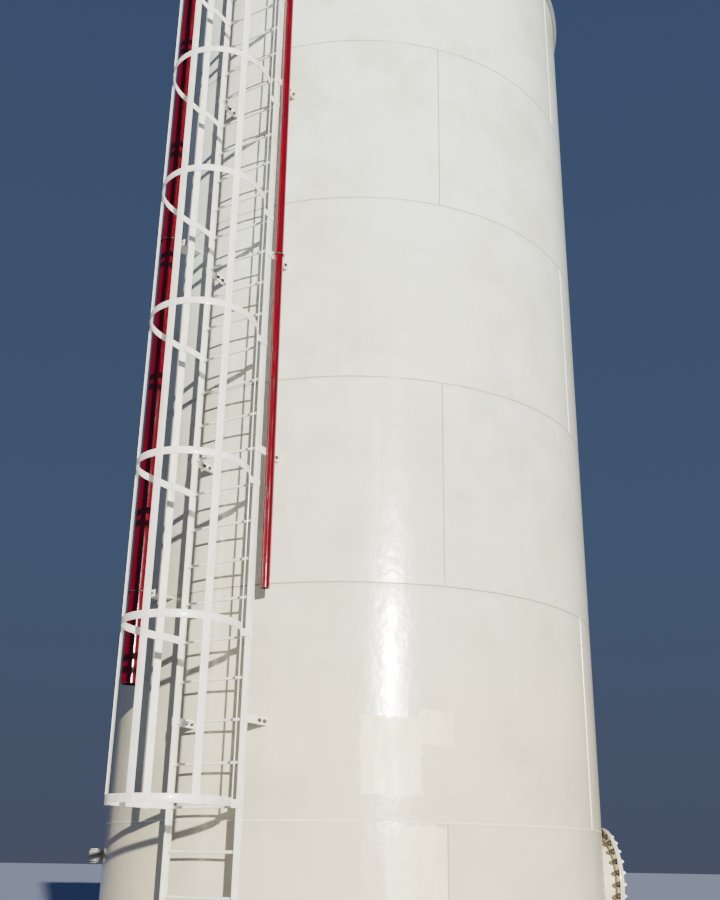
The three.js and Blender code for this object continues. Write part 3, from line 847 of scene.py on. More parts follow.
@dataclass
class SubAssembly:
    """What every sub-assembly of the tank needs: the finishes and the trees that repeat things."""

    finishes: Finishes
    welds: NodeMaker
    fasteners: NodeMaker

    def keep(self, obj: bpy.types.Object, slot: Slot, *nodes: str) -> None:
        """Files a finished piece on the tank.

        Args:
            obj: The piece.
            slot: Not used.
            nodes: CAD nodes that it stands for.
        """
        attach(obj, "root")
        if nodes:
            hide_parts(*nodes)
        LOG.info("%s: %d faces", obj.name, len(obj.data.polygons))

    def template(self, body: Body) -> bpy.types.Object:
        """Makes a part that a tree copies, to be dropped after baking."""
        return to_mesh("part_to_copy", body, self.finishes.steel)

    def drop(self, obj: bpy.types.Object) -> None:
        """Removes a part that has been copied."""
        bpy.data.objects.remove(obj, do_unlink=True)

    def lay_weld(self, name: str, paths: list, width: float, slot: Slot, material: bpy.types.Material,
                 ripple: float = 0.0022, step: float = 0.012) -> None:
        """Lays weld beads along paths and files them as one piece.

        Args:
            name: Name of the piece.
            paths: Lists of points, each with a flag that closes it.
            width: Diameter of the bead.
            slot: Slot of the record.
            material: Finish.
            ripple: Height of the ripples.
            step: Distance between the bead's rings.
        """
        points, edges = [], []
        for path, closed in paths:
            start = len(points)
            points += path
            edges += [(start + i, start + i + 1) for i in range(len(path) - 1)]
            if closed:
                edges.append((start + len(path) - 1, start))
        obj = self.welds.bake(name, points, edges, {
            "Width": width, "Ripple": ripple, "Seed": 3.0, "Step": step}, material, smooth=60.0)
        self.keep(obj, slot)

    def set_fasteners(self, name: str, part: Body, points: list, aims: list, seed: int,
                      material: bpy.types.Material, slot: Slot) -> None:
        """Stands a fastener on each point and files them as one piece.

        Args:
            name: Name of the piece.
            part: The fastener, along local +Z.
            points: Where each one stands.
            aims: Which way each one points.
            seed: Seed of the random turn about its own axis.
            material: Finish.
            slot: Slot of the record.
        """
        copy = self.template(part)
        obj = self.fasteners.bake(name, points, [], {"Part": copy, "Seed": seed, "Spin": 6.28}, material, aims)
        self.drop(copy)
        self.keep(obj, slot)


def hexagon(radius: float, low: float, high: float) -> Body:
    """Builds a hexagonal nut or head with its corners turned down.

    Args:
        radius: Half the width over the corners.
        low: Start along Z.
        high: End along Z.

    Returns:
        The nut.
    """
    chamfer = radius * 0.13
    return revolve([(0, low), (radius, low), (radius, high - chamfer), (radius - chamfer * 1.4, high), (0, high)], 6)


def bolt(radius: float, washer: float = 0.003, end: float = 0.012) -> Body:
    """Builds a nut on a washer with the bolt's end standing out of it.

    Args:
        radius: Half the nut's width over its corners.
        washer: Thickness of the washer.
        end: How far the bolt stands past the nut.

    Returns:
        The set, along +Z from the surface that it stands on.
    """
    top = washer + radius * 0.95
    shank = radius * 0.52
    ring = revolve([(0, 0), (radius * 1.25, 0), (radius * 1.25, washer), (0, washer)], 20)
    stem = revolve([(0, top - 0.001), (shank, top - 0.001), (shank, top + end - 0.002),
                    (shank - 0.002, top + end), (0, top + end)], 12)
    return ring.joined(hexagon(radius, washer, top), stem)


@dataclass
class Shell(SubAssembly):
    """The wall: six courses of rolled plate, welded in rings and uprights, and the bottom plate."""

    columns: int = 480
    rows: int = 26
    pull: float = 0.0016
    belly: float = 0.0011
    bead: float = 0.0145
    proud_bead: float = 0.020
    ring_sink: float = 0.0048
    upright_sink: float = 0.0042

    def radius_at(self, azimuth: float, level: float, course: int) -> float:
        """Gives the outer radius of the wall, which weld shrinkage pulls in a little at the seams.

        Args:
            azimuth: Degrees round the tank.
            level: Height.
            course: Number of the course, from 1.

        Returns:
            The radius.
        """
        low, high = (course - 1) * COURSE, course * COURSE
        near = min(level - low if course > 1 else 9, high - level if course < 6 else 9)
        pulled = self.pull * math.exp(-((near / 0.075) ** 2))
        seam = ODD_SEAM if course % 2 else EVEN_SEAM
        away = min(abs((azimuth - seam - turn + 180) % 360 - 180) for turn in (0, 180)) * math.radians(OUTER)
        pulled += self.pull * 0.8 * math.exp(-((away / 0.10) ** 2))
        turn = math.radians(azimuth)
        place = Vector((math.sin(turn) * 1.6, math.cos(turn) * 1.6, level * 0.75 + course * 7.1))
        return OUTER - pulled + self.belly * noise.noise(place, noise_basis="PERLIN_NEW")

    def build_course(self, course: int) -> bpy.types.Object:
        """Builds one course as a closed skin of plate.

        Args:
            course: Number of the course, from 1.

        Returns:
            The object.
        """
        low = 0.0083 if course == 1 else (course - 1) * COURSE + 0.0002
        high = course * COURSE - (0.0 if course == 6 else 0.0002)
        points, faces = [], []
        for row in range(self.rows + 1):
            level = low + (high - low) * row / self.rows
            for column in range(self.columns):
                azimuth = column * 360 / self.columns
                points.append(on_circle(self.radius_at(azimuth, level, course), azimuth, level))
        inner = len(points)
        for level in (low, high):
            for column in range(self.columns):
                points.append(on_circle(INNER - 0.0012, column * 360 / self.columns, level))
        for row in range(self.rows):
            for column in range(self.columns):
                after = (column + 1) % self.columns
                a, b = row * self.columns, (row + 1) * self.columns
                faces.append((a + column, a + after, b + after, b + column))
        top = self.rows * self.columns
        for column in range(self.columns):
            after = (column + 1) % self.columns
            faces.append((inner + after, inner + column, inner + self.columns + column,
                          inner + self.columns + after))
            faces.append((column, inner + column, inner + after, after))
            faces.append((top + after, inner + self.columns + after, inner + self.columns + column,
                          top + column))
        return to_mesh(f"shell_course_{course}", Body(points, faces), self.finishes.shell, 30.0)

    def cut_manway(self, obj: bpy.types.Object) -> None:
        """Cuts the manway's round hole through the plate.

        Args:
            obj: The course.
        """
        radius, past = MANWAY_NECK + CLEAR, 0.2
        profile = [(0, INNER - past), (radius, INNER - past), (radius, OUTER + past), (0, OUTER + past)]
        frame_matrix = radial_frame(MANWAY_AZIMUTH, MANWAY_LEVEL)
        plug = to_mesh("manway_plug", revolve(profile, 72, frame_matrix), self.finishes.shell)
        cut = obj.modifiers.new("Hole", "BOOLEAN")
        cut.operation = "DIFFERENCE"
        cut.solver = "EXACT"
        cut.object = plug
        graph = bpy.context.evaluated_depsgraph_get()
        mesh = bpy.data.meshes.new_from_object(obj.evaluated_get(graph), depsgraph=graph)
        obj.modifiers.clear()
        obj.data = mesh
        self.drop(plug)

    def build_welds(self) -> None:
        """Lays the ring welds, the upright welds and the fillet at the bottom."""
        # The lowest ring weld is bright enamel, a painted highlight; the other rings are dark, dust and painted shade
        for name, first, last, finish in (("lowest_ring_weld", 1, 1, self.finishes.proud),
                                          ("ring_welds", 2, 5, self.finishes.weld)):
            rings = []
            for course in range(first, last + 1):
                level = course * COURSE
                rings.append(([on_circle(self.radius_at(a / 2, level, course) - self.ring_sink, a / 2, level)
                               for a in range(720)], True))
            self.lay_weld(name, rings, self.bead, Slot.SHELL, finish)
        # Uprights at the odd seam are dark, dust and painted shade; those at the even seam are bright, a painted
        # highlight
        for name, first, seam, width, finish in (
                ("odd", 1, ODD_SEAM, self.bead, self.finishes.weld),
                ("even", 2, EVEN_SEAM, self.proud_bead, self.finishes.proud)):
            uprights = []
            for course in range(first, 7, 2):
                start = (course - 1) * COURSE + (0.02 if course == 1 else 0)
                length = COURSE - (0.03 if course in (1, 6) else 0)
                for turn in (0, 180):
                    path = []
                    for k in range(25):
                        level = start + length * k / 24
                        radius = self.radius_at(seam + turn, level, course) - self.upright_sink
                        path.append(on_circle(radius, seam + turn, level))
                    uprights.append((path, False))
            self.lay_weld(f"upright_welds_{name}", uprights, width, Slot.SHELL, finish)
        foot = [on_circle(OUTER + 0.001, a / 2, 0.0095) for a in range(720)]
        self.lay_weld("bottom_fillet_weld", [(foot, True)], 0.013, Slot.SHELL, self.finishes.weld)

    def build(self) -> None:
        """Builds the whole wall, its curb ring and the bottom plate."""
        for course in range(1, 7):
            obj = self.build_course(course)
            if course == 1:
                self.cut_manway(obj)
            self.keep(obj, Slot.SHELL, f"shell_course_{course}a", f"shell_course_{course}b")
        curb = rounded([(OUTER - 0.002, TOP - 0.008), (OUTER + 0.040, TOP - 0.008),
                        (OUTER + 0.040, TOP), (OUTER - 0.002, TOP)], 0.0015, 2)
        self.keep(to_mesh("curb_ring", revolve(curb, 240), self.finishes.shell), Slot.SHELL)
        plate = [(0, 0), (OUTER + 0.0305, 0), (OUTER + 0.032, 0.0015), (OUTER + 0.032, 0.0065),
                 (OUTER + 0.0305, 0.008), (0, 0.008)]
        self.keep(to_mesh("bottom_plate_skin", revolve(plate, 240), self.finishes.shell), Slot.SHELL,
                  "bottom_plate")
        self.build_welds()


@dataclass
class Roof(SubAssembly):
    """Shallow cone roof with its vent and hatch."""

    rise: float = 0.190
    plate: float = 0.005
    overhang: float = 0.044
    hatch: tuple = (0.0, -1.5)
    hatch_neck: float = 0.305
    hatch_lid: float = 0.331
    hatch_height: float = 0.150
    vent_neck: float = 0.110
    vent_hood: float = 0.180
    vent_height: float = 0.230
    seams: int = 12

    def top_at(self, distance: float) -> float:
        """Height of the roof's upper face at a distance from the axis."""
        slope = (self.rise - 0.004) / (INNER - 0.060)
        return TOP + CLEAR + self.plate + self.rise - slope * distance

    def build(self) -> None:
        """Builds the roof, its seams, the vent and the hatch."""
        base = TOP + CLEAR
        edge, knee = OUTER + self.overhang, INNER - 0.060
        cone = [(0, base + self.rise), (knee, base + 0.004), (knee, base), (edge - 0.001, base),
                (edge, base + 0.001), (edge, base + self.plate - 0.001), (edge - 0.001, base + self.plate),
                (knee, base + 0.004 + self.plate), (0, base + self.rise + self.plate)]
        self.keep(to_mesh("roof_cone", revolve(cone, 240), self.finishes.shell, 12.0), Slot.SHELL, "roof")
        paths = []
        for k in range(self.seams):
            azimuth = 15 + k * 360 / self.seams
            run = [0.16 + (knee - 0.16) * i / 20 for i in range(21)]
            paths.append(([on_circle(d, azimuth, self.top_at(d) - 0.0035) for d in run], False))
        rim = [on_circle(OUTER + 0.0404, a / 2, base - 0.0015) for a in range(720)]
        self.lay_weld("roof_seam_welds", paths, 0.012, Slot.SHELL, self.finishes.weld, step=0.02)
        self.lay_weld("roof_edge_weld", [(rim, True)], 0.006, Slot.SHELL, self.finishes.weld, 0.0008)
        self.build_vent()
        self.build_hatch()

    def build_vent(self) -> None:
        """Builds the vent: a neck, four posts and a conical hood."""
        low, top = self.top_at(0) - 0.012, self.top_at(0) + self.vent_height
        skirt, neck_top = self.vent_hood, top - 0.030
        neck = rounded([(self.vent_neck - 0.008, low), (self.vent_neck, low), (self.vent_neck, neck_top),
                        (self.vent_neck - 0.008, neck_top)], 0.001, 1)
        hood = rounded([(skirt - 0.006, neck_top), (skirt, neck_top), (skirt, top + 0.010), (0.0005, top + 0.070),
                        (0.0005, top + 0.004), (skirt - 0.006, top + 0.004)], 0.002, 2)
        bodies = [revolve(neck, 48), revolve(hood, 48)]
        for azimuth in range(0, 360, 90):
            spot = on_circle(self.vent_neck - 0.004, azimuth)
            bodies.append(bar((0.010, 0.010, 0.050), (spot.x, spot.y, top - 0.015), 0.001))
        self.keep(to_mesh("vent", gather(bodies), self.finishes.shell), Slot.SHELL, "roof_vent")
        toe = self.vent_neck + 0.002
        ring = [on_circle(toe, a * 5, self.top_at(toe) + 0.001) for a in range(72)]
        self.lay_weld("vent_weld", [(ring, True)], 0.010, Slot.SHELL, self.finishes.weld, 0.0012, 0.008)

    def build_hatch(self) -> None:
        """Builds the hatch: a neck that follows the slope, and its lid."""
        x, y = self.hatch
        place = Matrix.Translation((x, y, 0))
        top = self.top_at(math.hypot(x, y)) + self.hatch_height
        outer, inner = self.hatch_neck, self.hatch_neck - 0.008
        neck = revolve([(inner, TOP), (outer, TOP), (outer, top), (inner, top)], 96, place)
        for i, point in enumerate(neck.points):
            if point.z < TOP + 0.001:
                neck.points[i] = Vector((point.x, point.y, self.top_at(math.hypot(point.x, point.y)) + 0.0002))
        self.keep(to_mesh("hatch_neck", neck, self.finishes.shell), Slot.SHELL, "roof_hatch_neck")
        level = top + CLEAR
        rim = self.hatch_lid
        lid = rounded([(rim - 0.006, level - 0.030), (rim, level - 0.030), (rim, level + 0.006),
                       (0.0005, level + 0.014), (0.0005, level), (rim - 0.006, level)], 0.0018, 2)
        self.keep(to_mesh("hatch_lid", revolve(lid, 96, place), self.finishes.shell), Slot.SHELL, "roof_hatch_lid")
        ring = []
        for a in range(90):
            spot = Vector((x, y, 0)) + on_circle(self.hatch_neck + 0.002, a * 4)
            ring.append(Vector((spot.x, spot.y, self.top_at(math.hypot(spot.x, spot.y)) + 0.001)))
        self.lay_weld("hatch_weld", [(ring, True)], 0.010, Slot.SHELL, self.finishes.weld, 0.0012, 0.008)


@dataclass
class Ladder(SubAssembly):
    """Two flat rails, 34 round rungs and the six pairs of arms that hold them off the wall."""

    rungs: NodeMaker | None = None
    foot: float = 0.060
    top: float = TOP + 1.067
    first: int = -4
    last: int = 29
    arm: tuple = (0.010, 0.064)
    clip: float = 0.130

    def build_rails(self) -> None:
        """Builds both rails as one piece."""
        side = HALF_WIDTH + RAIL_THICKNESS / 2
        bodies = [bar((RAIL_THICKNESS, RAIL_DEPTH, self.top - self.foot),
                      (LADDER_X + sign * side, LADDER_Y, (self.top + self.foot) / 2), 0.0018) for sign in (-1, 1)]
        self.keep(to_mesh("ladder_rails", gather(bodies), self.finishes.ladder), Slot.LADDER,
                  "ladder_section_1", "ladder_section_2", "ladder_section_3")

    def build_rungs(self) -> None:
        """Builds the rungs with the fillet weld at each end."""
        across = Matrix.Rotation(math.pi / 2, 4, "Y")
        half = HALF_WIDTH + 0.001
        low = RUNG_ZERO + self.first * RUNG_PITCH
        rod = [(0, -half), (0.011, -half), (0.011, half), (0, half)]
        place = Matrix.Translation((LADDER_X, LADDER_Y, low)) @ across
        bodies = [revolve(rod, 20, place)]
        for sign in (-1, 1):
            fillet = [(0.010, sign * half), (0.0175, sign * half), (0.0165, sign * (half - 0.0035)),
                      (0.0112, sign * (half - 0.008)), (0.010, sign * (half - 0.008))]
            bodies.append(revolve(fillet, 20, place))
        copy = self.template(gather(bodies))
        obj = self.rungs.bake("ladder_rungs", [Vector((0, 0, 0))], [], {
            "Rung": copy, "Count": self.last - self.first + 1, "Pitch": (0.0, 0.0, RUNG_PITCH),
        }, self.finishes.ladder)
        self.drop(copy)
        self.keep(obj, Slot.LADDER)

    def build_arms(self) -> None:
        """Builds the arms with their clips, the welds on the wall and the bolts."""
        thick, height = self.arm
        offset = HALF_WIDTH + RAIL_THICKNESS + CLEAR + thick / 2
        start = LADDER_Y - RAIL_DEPTH / 2 + 0.004
        points, aims, toes = [], [], []
        for order, level in enumerate(ARM_LEVELS):
            for name, sign in (("left", -1), ("right", 1)):
                x = LADDER_X + sign * offset
                wall = -math.sqrt((OUTER - 0.001) ** 2 - x ** 2)
                plate = bar((thick, wall - start, height), (x, (wall + start) / 2, level), 0.0015)
                inner = LADDER_X + sign * (offset - thick)
                clip = bar((thick, self.clip, height), (inner, wall - self.clip / 2, level), 0.0015)
                obj = to_mesh(f"ladder_arm_{order + 1}_{name}_bar", plate.joined(clip), self.finishes.ladder)
                self.keep(obj, Slot.LADDER, f"ladder_arm_{order + 1}_{name}")
                for along in (0.045, 0.112):
                    spot = Vector((x + sign * thick / 2, wall - along, level - 0.002))
                    points.append(spot)
                    aims.append((sign, 0, 0))
                    points.append(Vector((inner - sign * thick / 2, spot.y, spot.z)))
                    aims.append((-sign, 0, 0))
                for dx in (-0.012, 0.002):
                    at = LADDER_X + sign * (offset + dx)
                    face = -math.sqrt(OUTER ** 2 - at ** 2) - 0.001
                    toes.append(([Vector((at, face, level - height / 2 + height * k / 8)) for k in range(9)],
                                 False))
        self.lay_weld("ladder_arm_welds", toes, 0.010, Slot.LADDER, self.finishes.weld, 0.0018, 0.006)
        self.set_fasteners("ladder_arm_bolts", bolt(0.0140, 0.0025, 0.006), points, aims, 5,
                           self.finishes.steel, Slot.LADDER)
        self.build_rail_welds(start)

    def build_rail_welds(self, start: float) -> None:
        """Lays the welds that join arms to rails.

        Args:
            start: Where the arms start, along Y.
        """
        paths = []
        for level in ARM_LEVELS:
            for sign in (-1, 1):
                x = LADDER_X + sign * (HALF_WIDTH + RAIL_THICKNESS + 0.0012)
                for edge in (-0.034, 0.034):
                    paths.append(([Vector((x, start + 0.002 + 0.066 * k / 6, level + edge)) for k in range(7)],
                                  False))
        self.lay_weld("ladder_rail_welds", paths, 0.007, Slot.LADDER, self.finishes.ladder, 0.0012, 0.006)

    def build(self) -> None:
        """Builds the whole ladder."""
        self.build_rails()
        self.build_rungs()
        self.build_arms()


@dataclass
class Cage(SubAssembly):
    """Nine flat hoops bent round the climber, and five upright straps outside them."""

    hoops: NodeMaker | None = None
    centre: tuple = (0.250, -3.018)
    radius: float = 0.440
    front: float = 5.25
    step: float = 4.0
    half_count: float = 24.5
    knees: tuple = ((-0.190, -2.785), (0.6525, -2.800))
    tab_starts: tuple = (-2.705, -2.625)
    levels: tuple = (1.929, 3.193, 4.447, 5.734, 7.001, 8.252, 9.520, 10.790, 11.883)
    thickness: float = 0.006
    height: float = 0.058
    bottom_height: float = 0.060
    front_straps: tuple = (-17, 0, 15)
    knee_straps: tuple = (0.033, 0.133)
    width: float = 0.061

    def height_of(self, order: int) -> float:
        """Height of a hoop's flat bar."""
        return self.height if order else self.bottom_height

    def plan(self) -> list:
        """Draws the outer face of a hoop in plan.

        Returns:
            The points, from the left end round to the right one.
        """
        lap = HALF_WIDTH + RAIL_THICKNESS + CLEAR + self.thickness
        tail = LADDER_Y + RAIL_DEPTH / 2 - 0.004
        path = [Vector((LADDER_X - lap, tail, 0)), Vector((LADDER_X - lap, self.tab_starts[0], 0)),
                Vector((*self.knees[0], 0))]
        count = int(2 * self.half_count)
        for k in range(2 * count + 1):
            spot = on_circle(self.radius, self.front + (k / 2 - self.half_count) * self.step)
            path.append(Vector((self.centre[0] + spot.x, self.centre[1] + spot.y, 0)))
        path += [Vector((*self.knees[1], 0)), Vector((LADDER_X + lap, self.tab_starts[1], 0)),
                 Vector((LADDER_X + lap, tail, 0))]
        return path

    def inset(self, path: list, distance: float) -> list:
        """Moves a path to its inner side, with mitred corners.

        Args:
            path: Points in plan, from left to right.
            distance: How far it moves.

        Returns:
            The new path.
        """
        turns = [(b - a).normalized() for a, b in zip(path, path[1:])]
        inward = [Vector((-t.y, t.x, 0)) for t in turns]
        result = []
        for i, point in enumerate(path):
            one, two = inward[max(i - 1, 0)], inward[min(i, len(inward) - 1)]
            result.append(point + (one + two) * (distance / (1 + one.dot(two))))
        return result

    def build_hoops(self) -> None:
        """Bends each hoop, with its ends lapped on the rails."""
        plan = self.inset(self.plan(), self.thickness / 2)
        for order, level in enumerate(self.levels):
            path = [point + Vector((0, 0, level)) for point in plan]
            obj = self.hoops.bake(f"hoop_{order + 1}", path, [(i, i + 1) for i in range(len(path) - 1)], {
                "Height": self.height_of(order), "Thickness": self.thickness, "Soft": 0.0012,
            }, self.finishes.ladder, smooth=25.0)
            self.keep(obj, Slot.LADDER, f"cage_hoop_{order + 1}")

    def strap_places(self) -> list:
        """Works out where the straps stand.

        Returns:
            Each strap's place in plan and the azimuth that it faces, from left to right.
        """
        lift = CLEAR + self.thickness / 2
        reach = self.radius * math.cos(math.radians(self.step / 2)) + lift
        middle = Vector((*self.centre, 0))
        places = [(middle + on_circle(reach, self.front + k * self.step), self.front + k * self.step)
                  for k in self.front_straps]
        lap = HALF_WIDTH + RAIL_THICKNESS + CLEAR + self.thickness
        for order, side in enumerate((-1, 1)):
            knee = Vector((*self.knees[order], 0))
            along = (Vector((LADDER_X + side * lap, self.tab_starts[order], 0)) - knee).normalized()
            out = Vector((side * along.y, -side * along.x, 0))
            place = (knee + along * self.knee_straps[order] + out * lift,
                     math.degrees(math.atan2(out.x, -out.y)))
            places.insert(0 if side < 0 else len(places), place)
        return places

    def build_straps(self) -> None:
        """Builds the straps and the short welds where they cross the hoops."""
        low = self.levels[0] - self.bottom_height / 2 - 0.005
        high = self.levels[-1] + self.height / 2 + 0.005
        welds = []
        for order, (spot, azimuth) in enumerate(self.strap_places()):
            strap = bar((self.width, self.thickness, high - low), (0, 0, 0), 0.0012)
            place = Matrix.Translation((spot.x, spot.y, (low + high) / 2))
            turned = strap.moved(place @ Matrix.Rotation(math.radians(azimuth), 4, "Z"))
            self.keep(to_mesh(f"strap_{order + 1}", turned, self.finishes.ladder), Slot.LADDER,
                      f"cage_strap_{order + 1}")
            side, out = on_circle(1.0, azimuth + 90), on_circle(1.0, azimuth)
            for hoop, level in enumerate(self.levels):
                for edge in (-1, 1):
                    height = level + edge * self.height_of(hoop) / 2
                    welds.append(([spot + side * (k / 5 - 0.5) * (self.width - 0.008) - out * 0.0035
                                   + Vector((0, 0, height)) for k in range(6)], False))
        self.lay_weld("cage_welds", welds, 0.0055, Slot.LADDER, self.finishes.ladder, 0.001, 0.006)

    def build(self) -> None:
        """Builds the whole cage."""
        self.build_hoops()
        self.build_straps()


@dataclass
class Standpipe(SubAssembly):
    """A pipe that hangs down the wall, open at its foot and turned into the wall at its top."""

    name: str = "standpipe"
    x: float = 0.0
    y: float = 0.0
    radius: float = 0.05
    wall: float = 0.005
    foot: float = 3.0
    top: float = 10.4
    bend: float = 0.2
    sleeves: tuple = ()
    lean: tuple = (0.0, 0.0)

    def axis(self) -> list:
        """Draws the pipe's axis.

        Returns:
            The points, from the foot to the wall.
        """
        azimuth = math.degrees(math.atan2(self.x, -self.y))
        inward = -on_circle(1.0, azimuth)
        low = Vector((self.x, self.y + self.lean[0], self.foot))
        turn = Vector((self.x, self.y + self.lean[1], self.top))
        centre = turn + inward * self.bend
        points = [low + (turn - low) * k / 40 for k in range(40)]
        points += arc(centre, turn, centre + Vector((0, 0, self.bend)), 16)
        reach = math.hypot(turn.x, turn.y) - self.bend - (OUTER - 0.001)
        if reach > 0.001:
            points.append(points[-1] + inward * reach)
        return points

    def build(self, *nodes: str) -> None:
        """Builds the pipe, its sleeves and the weld where it enters the wall.

        Args:
            nodes: CAD nodes that the pipe stands for.
        """
        axis = self.axis()
        pipe = hollow(axis, self.radius, self.wall, 48)
        obj = to_mesh(self.name, pipe, self.finishes.pipe)
        obj.data.materials.append(self.finishes.bore)
        count = len(axis) * 48
        for polygon in obj.data.polygons:
            if all(v >= count for v in polygon.vertices):
                polygon.material_index = 1
        self.keep(obj, Slot.PIPE, *nodes)
        bodies = []
        for low, high, extra in self.sleeves:
            ring = rounded([(self.radius - 0.002, low), (self.radius + extra, low), (self.radius + extra, high),
                            (self.radius - 0.002, high)], 0.0025, 3)
            bodies.append(revolve(ring, 48, Matrix.Translation((self.x, self.y, 0))))
        if bodies:
            self.keep(to_mesh(self.name + "_sleeves", gather(bodies), self.finishes.pipe), Slot.PIPE)
        inward = (axis[-1] - axis[-2]).normalized()
        side = Vector((0, 0, 1)).cross(inward)
        centre = axis[-1] - inward * 0.001
        ring = []
        for k in range(48):
            turn = 2 * math.pi * k / 48
            spot = centre + (side * math.cos(turn) + Vector((0, 0, 1)) * math.sin(turn)) * self.radius
            out = math.sqrt(max(OUTER ** 2 - spot.dot(side) ** 2, 0))
            flat = spot - inward * spot.dot(inward)
            ring.append(flat - inward * out)
        self.lay_weld(self.name + "_weld", [(ring, True)], 0.012, Slot.PIPE, self.finishes.pipe, 0.002, 0.006)


@dataclass
class PipeHangers(SubAssembly):
    """U-bolts that hold the pipes: two wall brackets on the left pipe, two arms on the right one."""

    left: tuple = LEFT_PIPE
    left_levels: tuple = (3.645, 7.080)
    right: tuple = RIGHT_PIPE
    rod: float = 0.005

    def loop(self, centre: tuple, radius: float, turn: float, leg: float, level: float) -> Body:
        """Bends a U-bolt round an upright pipe.

        Args:
            centre: The pipe's place in plan.
            radius: Radius of the bend.
            turn: Degrees that the legs turn from +Y.
            leg: Length of the legs.
            level: Height.

        Returns:
            The U-bolt.
        """
        place = Matrix.Translation((centre[0], centre[1], level)) @ Matrix.Rotation(math.radians(turn), 4, "Z")
        path = [Vector((-radius, leg, 0))]
        path += [Vector((radius * math.cos(t), radius * math.sin(t), 0))
                 for t in (math.pi + math.pi * k / 24 for k in range(25))]
        path.append(Vector((radius, leg, 0)))
        return sweep([place @ p for p in path], circle(self.rod, 12), Vector((0, 0, 1)))

    def build_left(self) -> None:
        """Builds the wall brackets of the left pipe."""
        x, y, radius = self.left
        azimuth = math.degrees(math.atan2(x, -y))
        far = math.hypot(x, y) - radius - CLEAR
        near = OUTER - 0.002
        for order, level in enumerate(self.left_levels):
            place = Matrix.Translation((0, 0, level)) @ Matrix.Rotation(math.radians(azimuth), 4, "Z")
            plate = bar((0.150, far - near, 0.010), (0, -(near + far) / 2, 0), 0.0015)
            lug = bar((0.216, 0.010, 0.060), (0, -far + 0.005, 0), 0.0015)
            obj = to_mesh(f"left_pipe_bracket_{order + 1}", plate.joined(lug).moved(place), self.finishes.ladder)
            self.keep(obj, Slot.LADDER, f"left_pipe_clamp_{order + 1}")
            bent = self.loop((x, y), radius + CLEAR + 0.007, azimuth, radius + 0.012, level)
            self.keep(to_mesh(f"left_u_bolt_{order + 1}", bent, self.finishes.steel), Slot.LADDER)
            points = [place @ Vector((sign * (radius + 0.0073), -far + 0.010, 0)) for sign in (-1, 1)]
            aim = -on_circle(1.0, azimuth)
            self.set_fasteners(f"left_u_bolt_nuts_{order + 1}", bolt(0.012, 0.002, 0.006), points,
                               [tuple(aim)] * 2, 7 + order, self.finishes.steel, Slot.LADDER)

    def build_right(self) -> None:
        """Builds the U-bolts that tie the right pipe to two of the ladder arms."""
        x, y, radius = self.right
        arm = LADDER_X + HALF_WIDTH + RAIL_THICKNESS + CLEAR + 0.005
        bend = radius + CLEAR + 0.006
        bodies, points = [], []
        for level in (ARM_LEVELS[3], ARM_LEVELS[5]):
            along = (level - RIGHT_FOOT) / (RIGHT_TOP - RIGHT_FOOT)
            here = y + RIGHT_LEAN[0] + (RIGHT_LEAN[1] - RIGHT_LEAN[0]) * along
            bodies.append(self.loop((x, here), bend, 90, x - arm, level))
            points.append(Vector((arm - 0.005, here + bend, level)))
        self.keep(to_mesh("right_u_bolts", gather(bodies), self.finishes.steel), Slot.LADDER)
        self.set_fasteners("right_u_bolt_nuts", bolt(0.0085, 0.0015, 0.003), points,
                           [(-1, 0, 0)] * len(points), 11, self.finishes.steel, Slot.LADDER)

    def build(self) -> None:
        """Builds every hanger."""
        self.build_left()
        self.build_right()


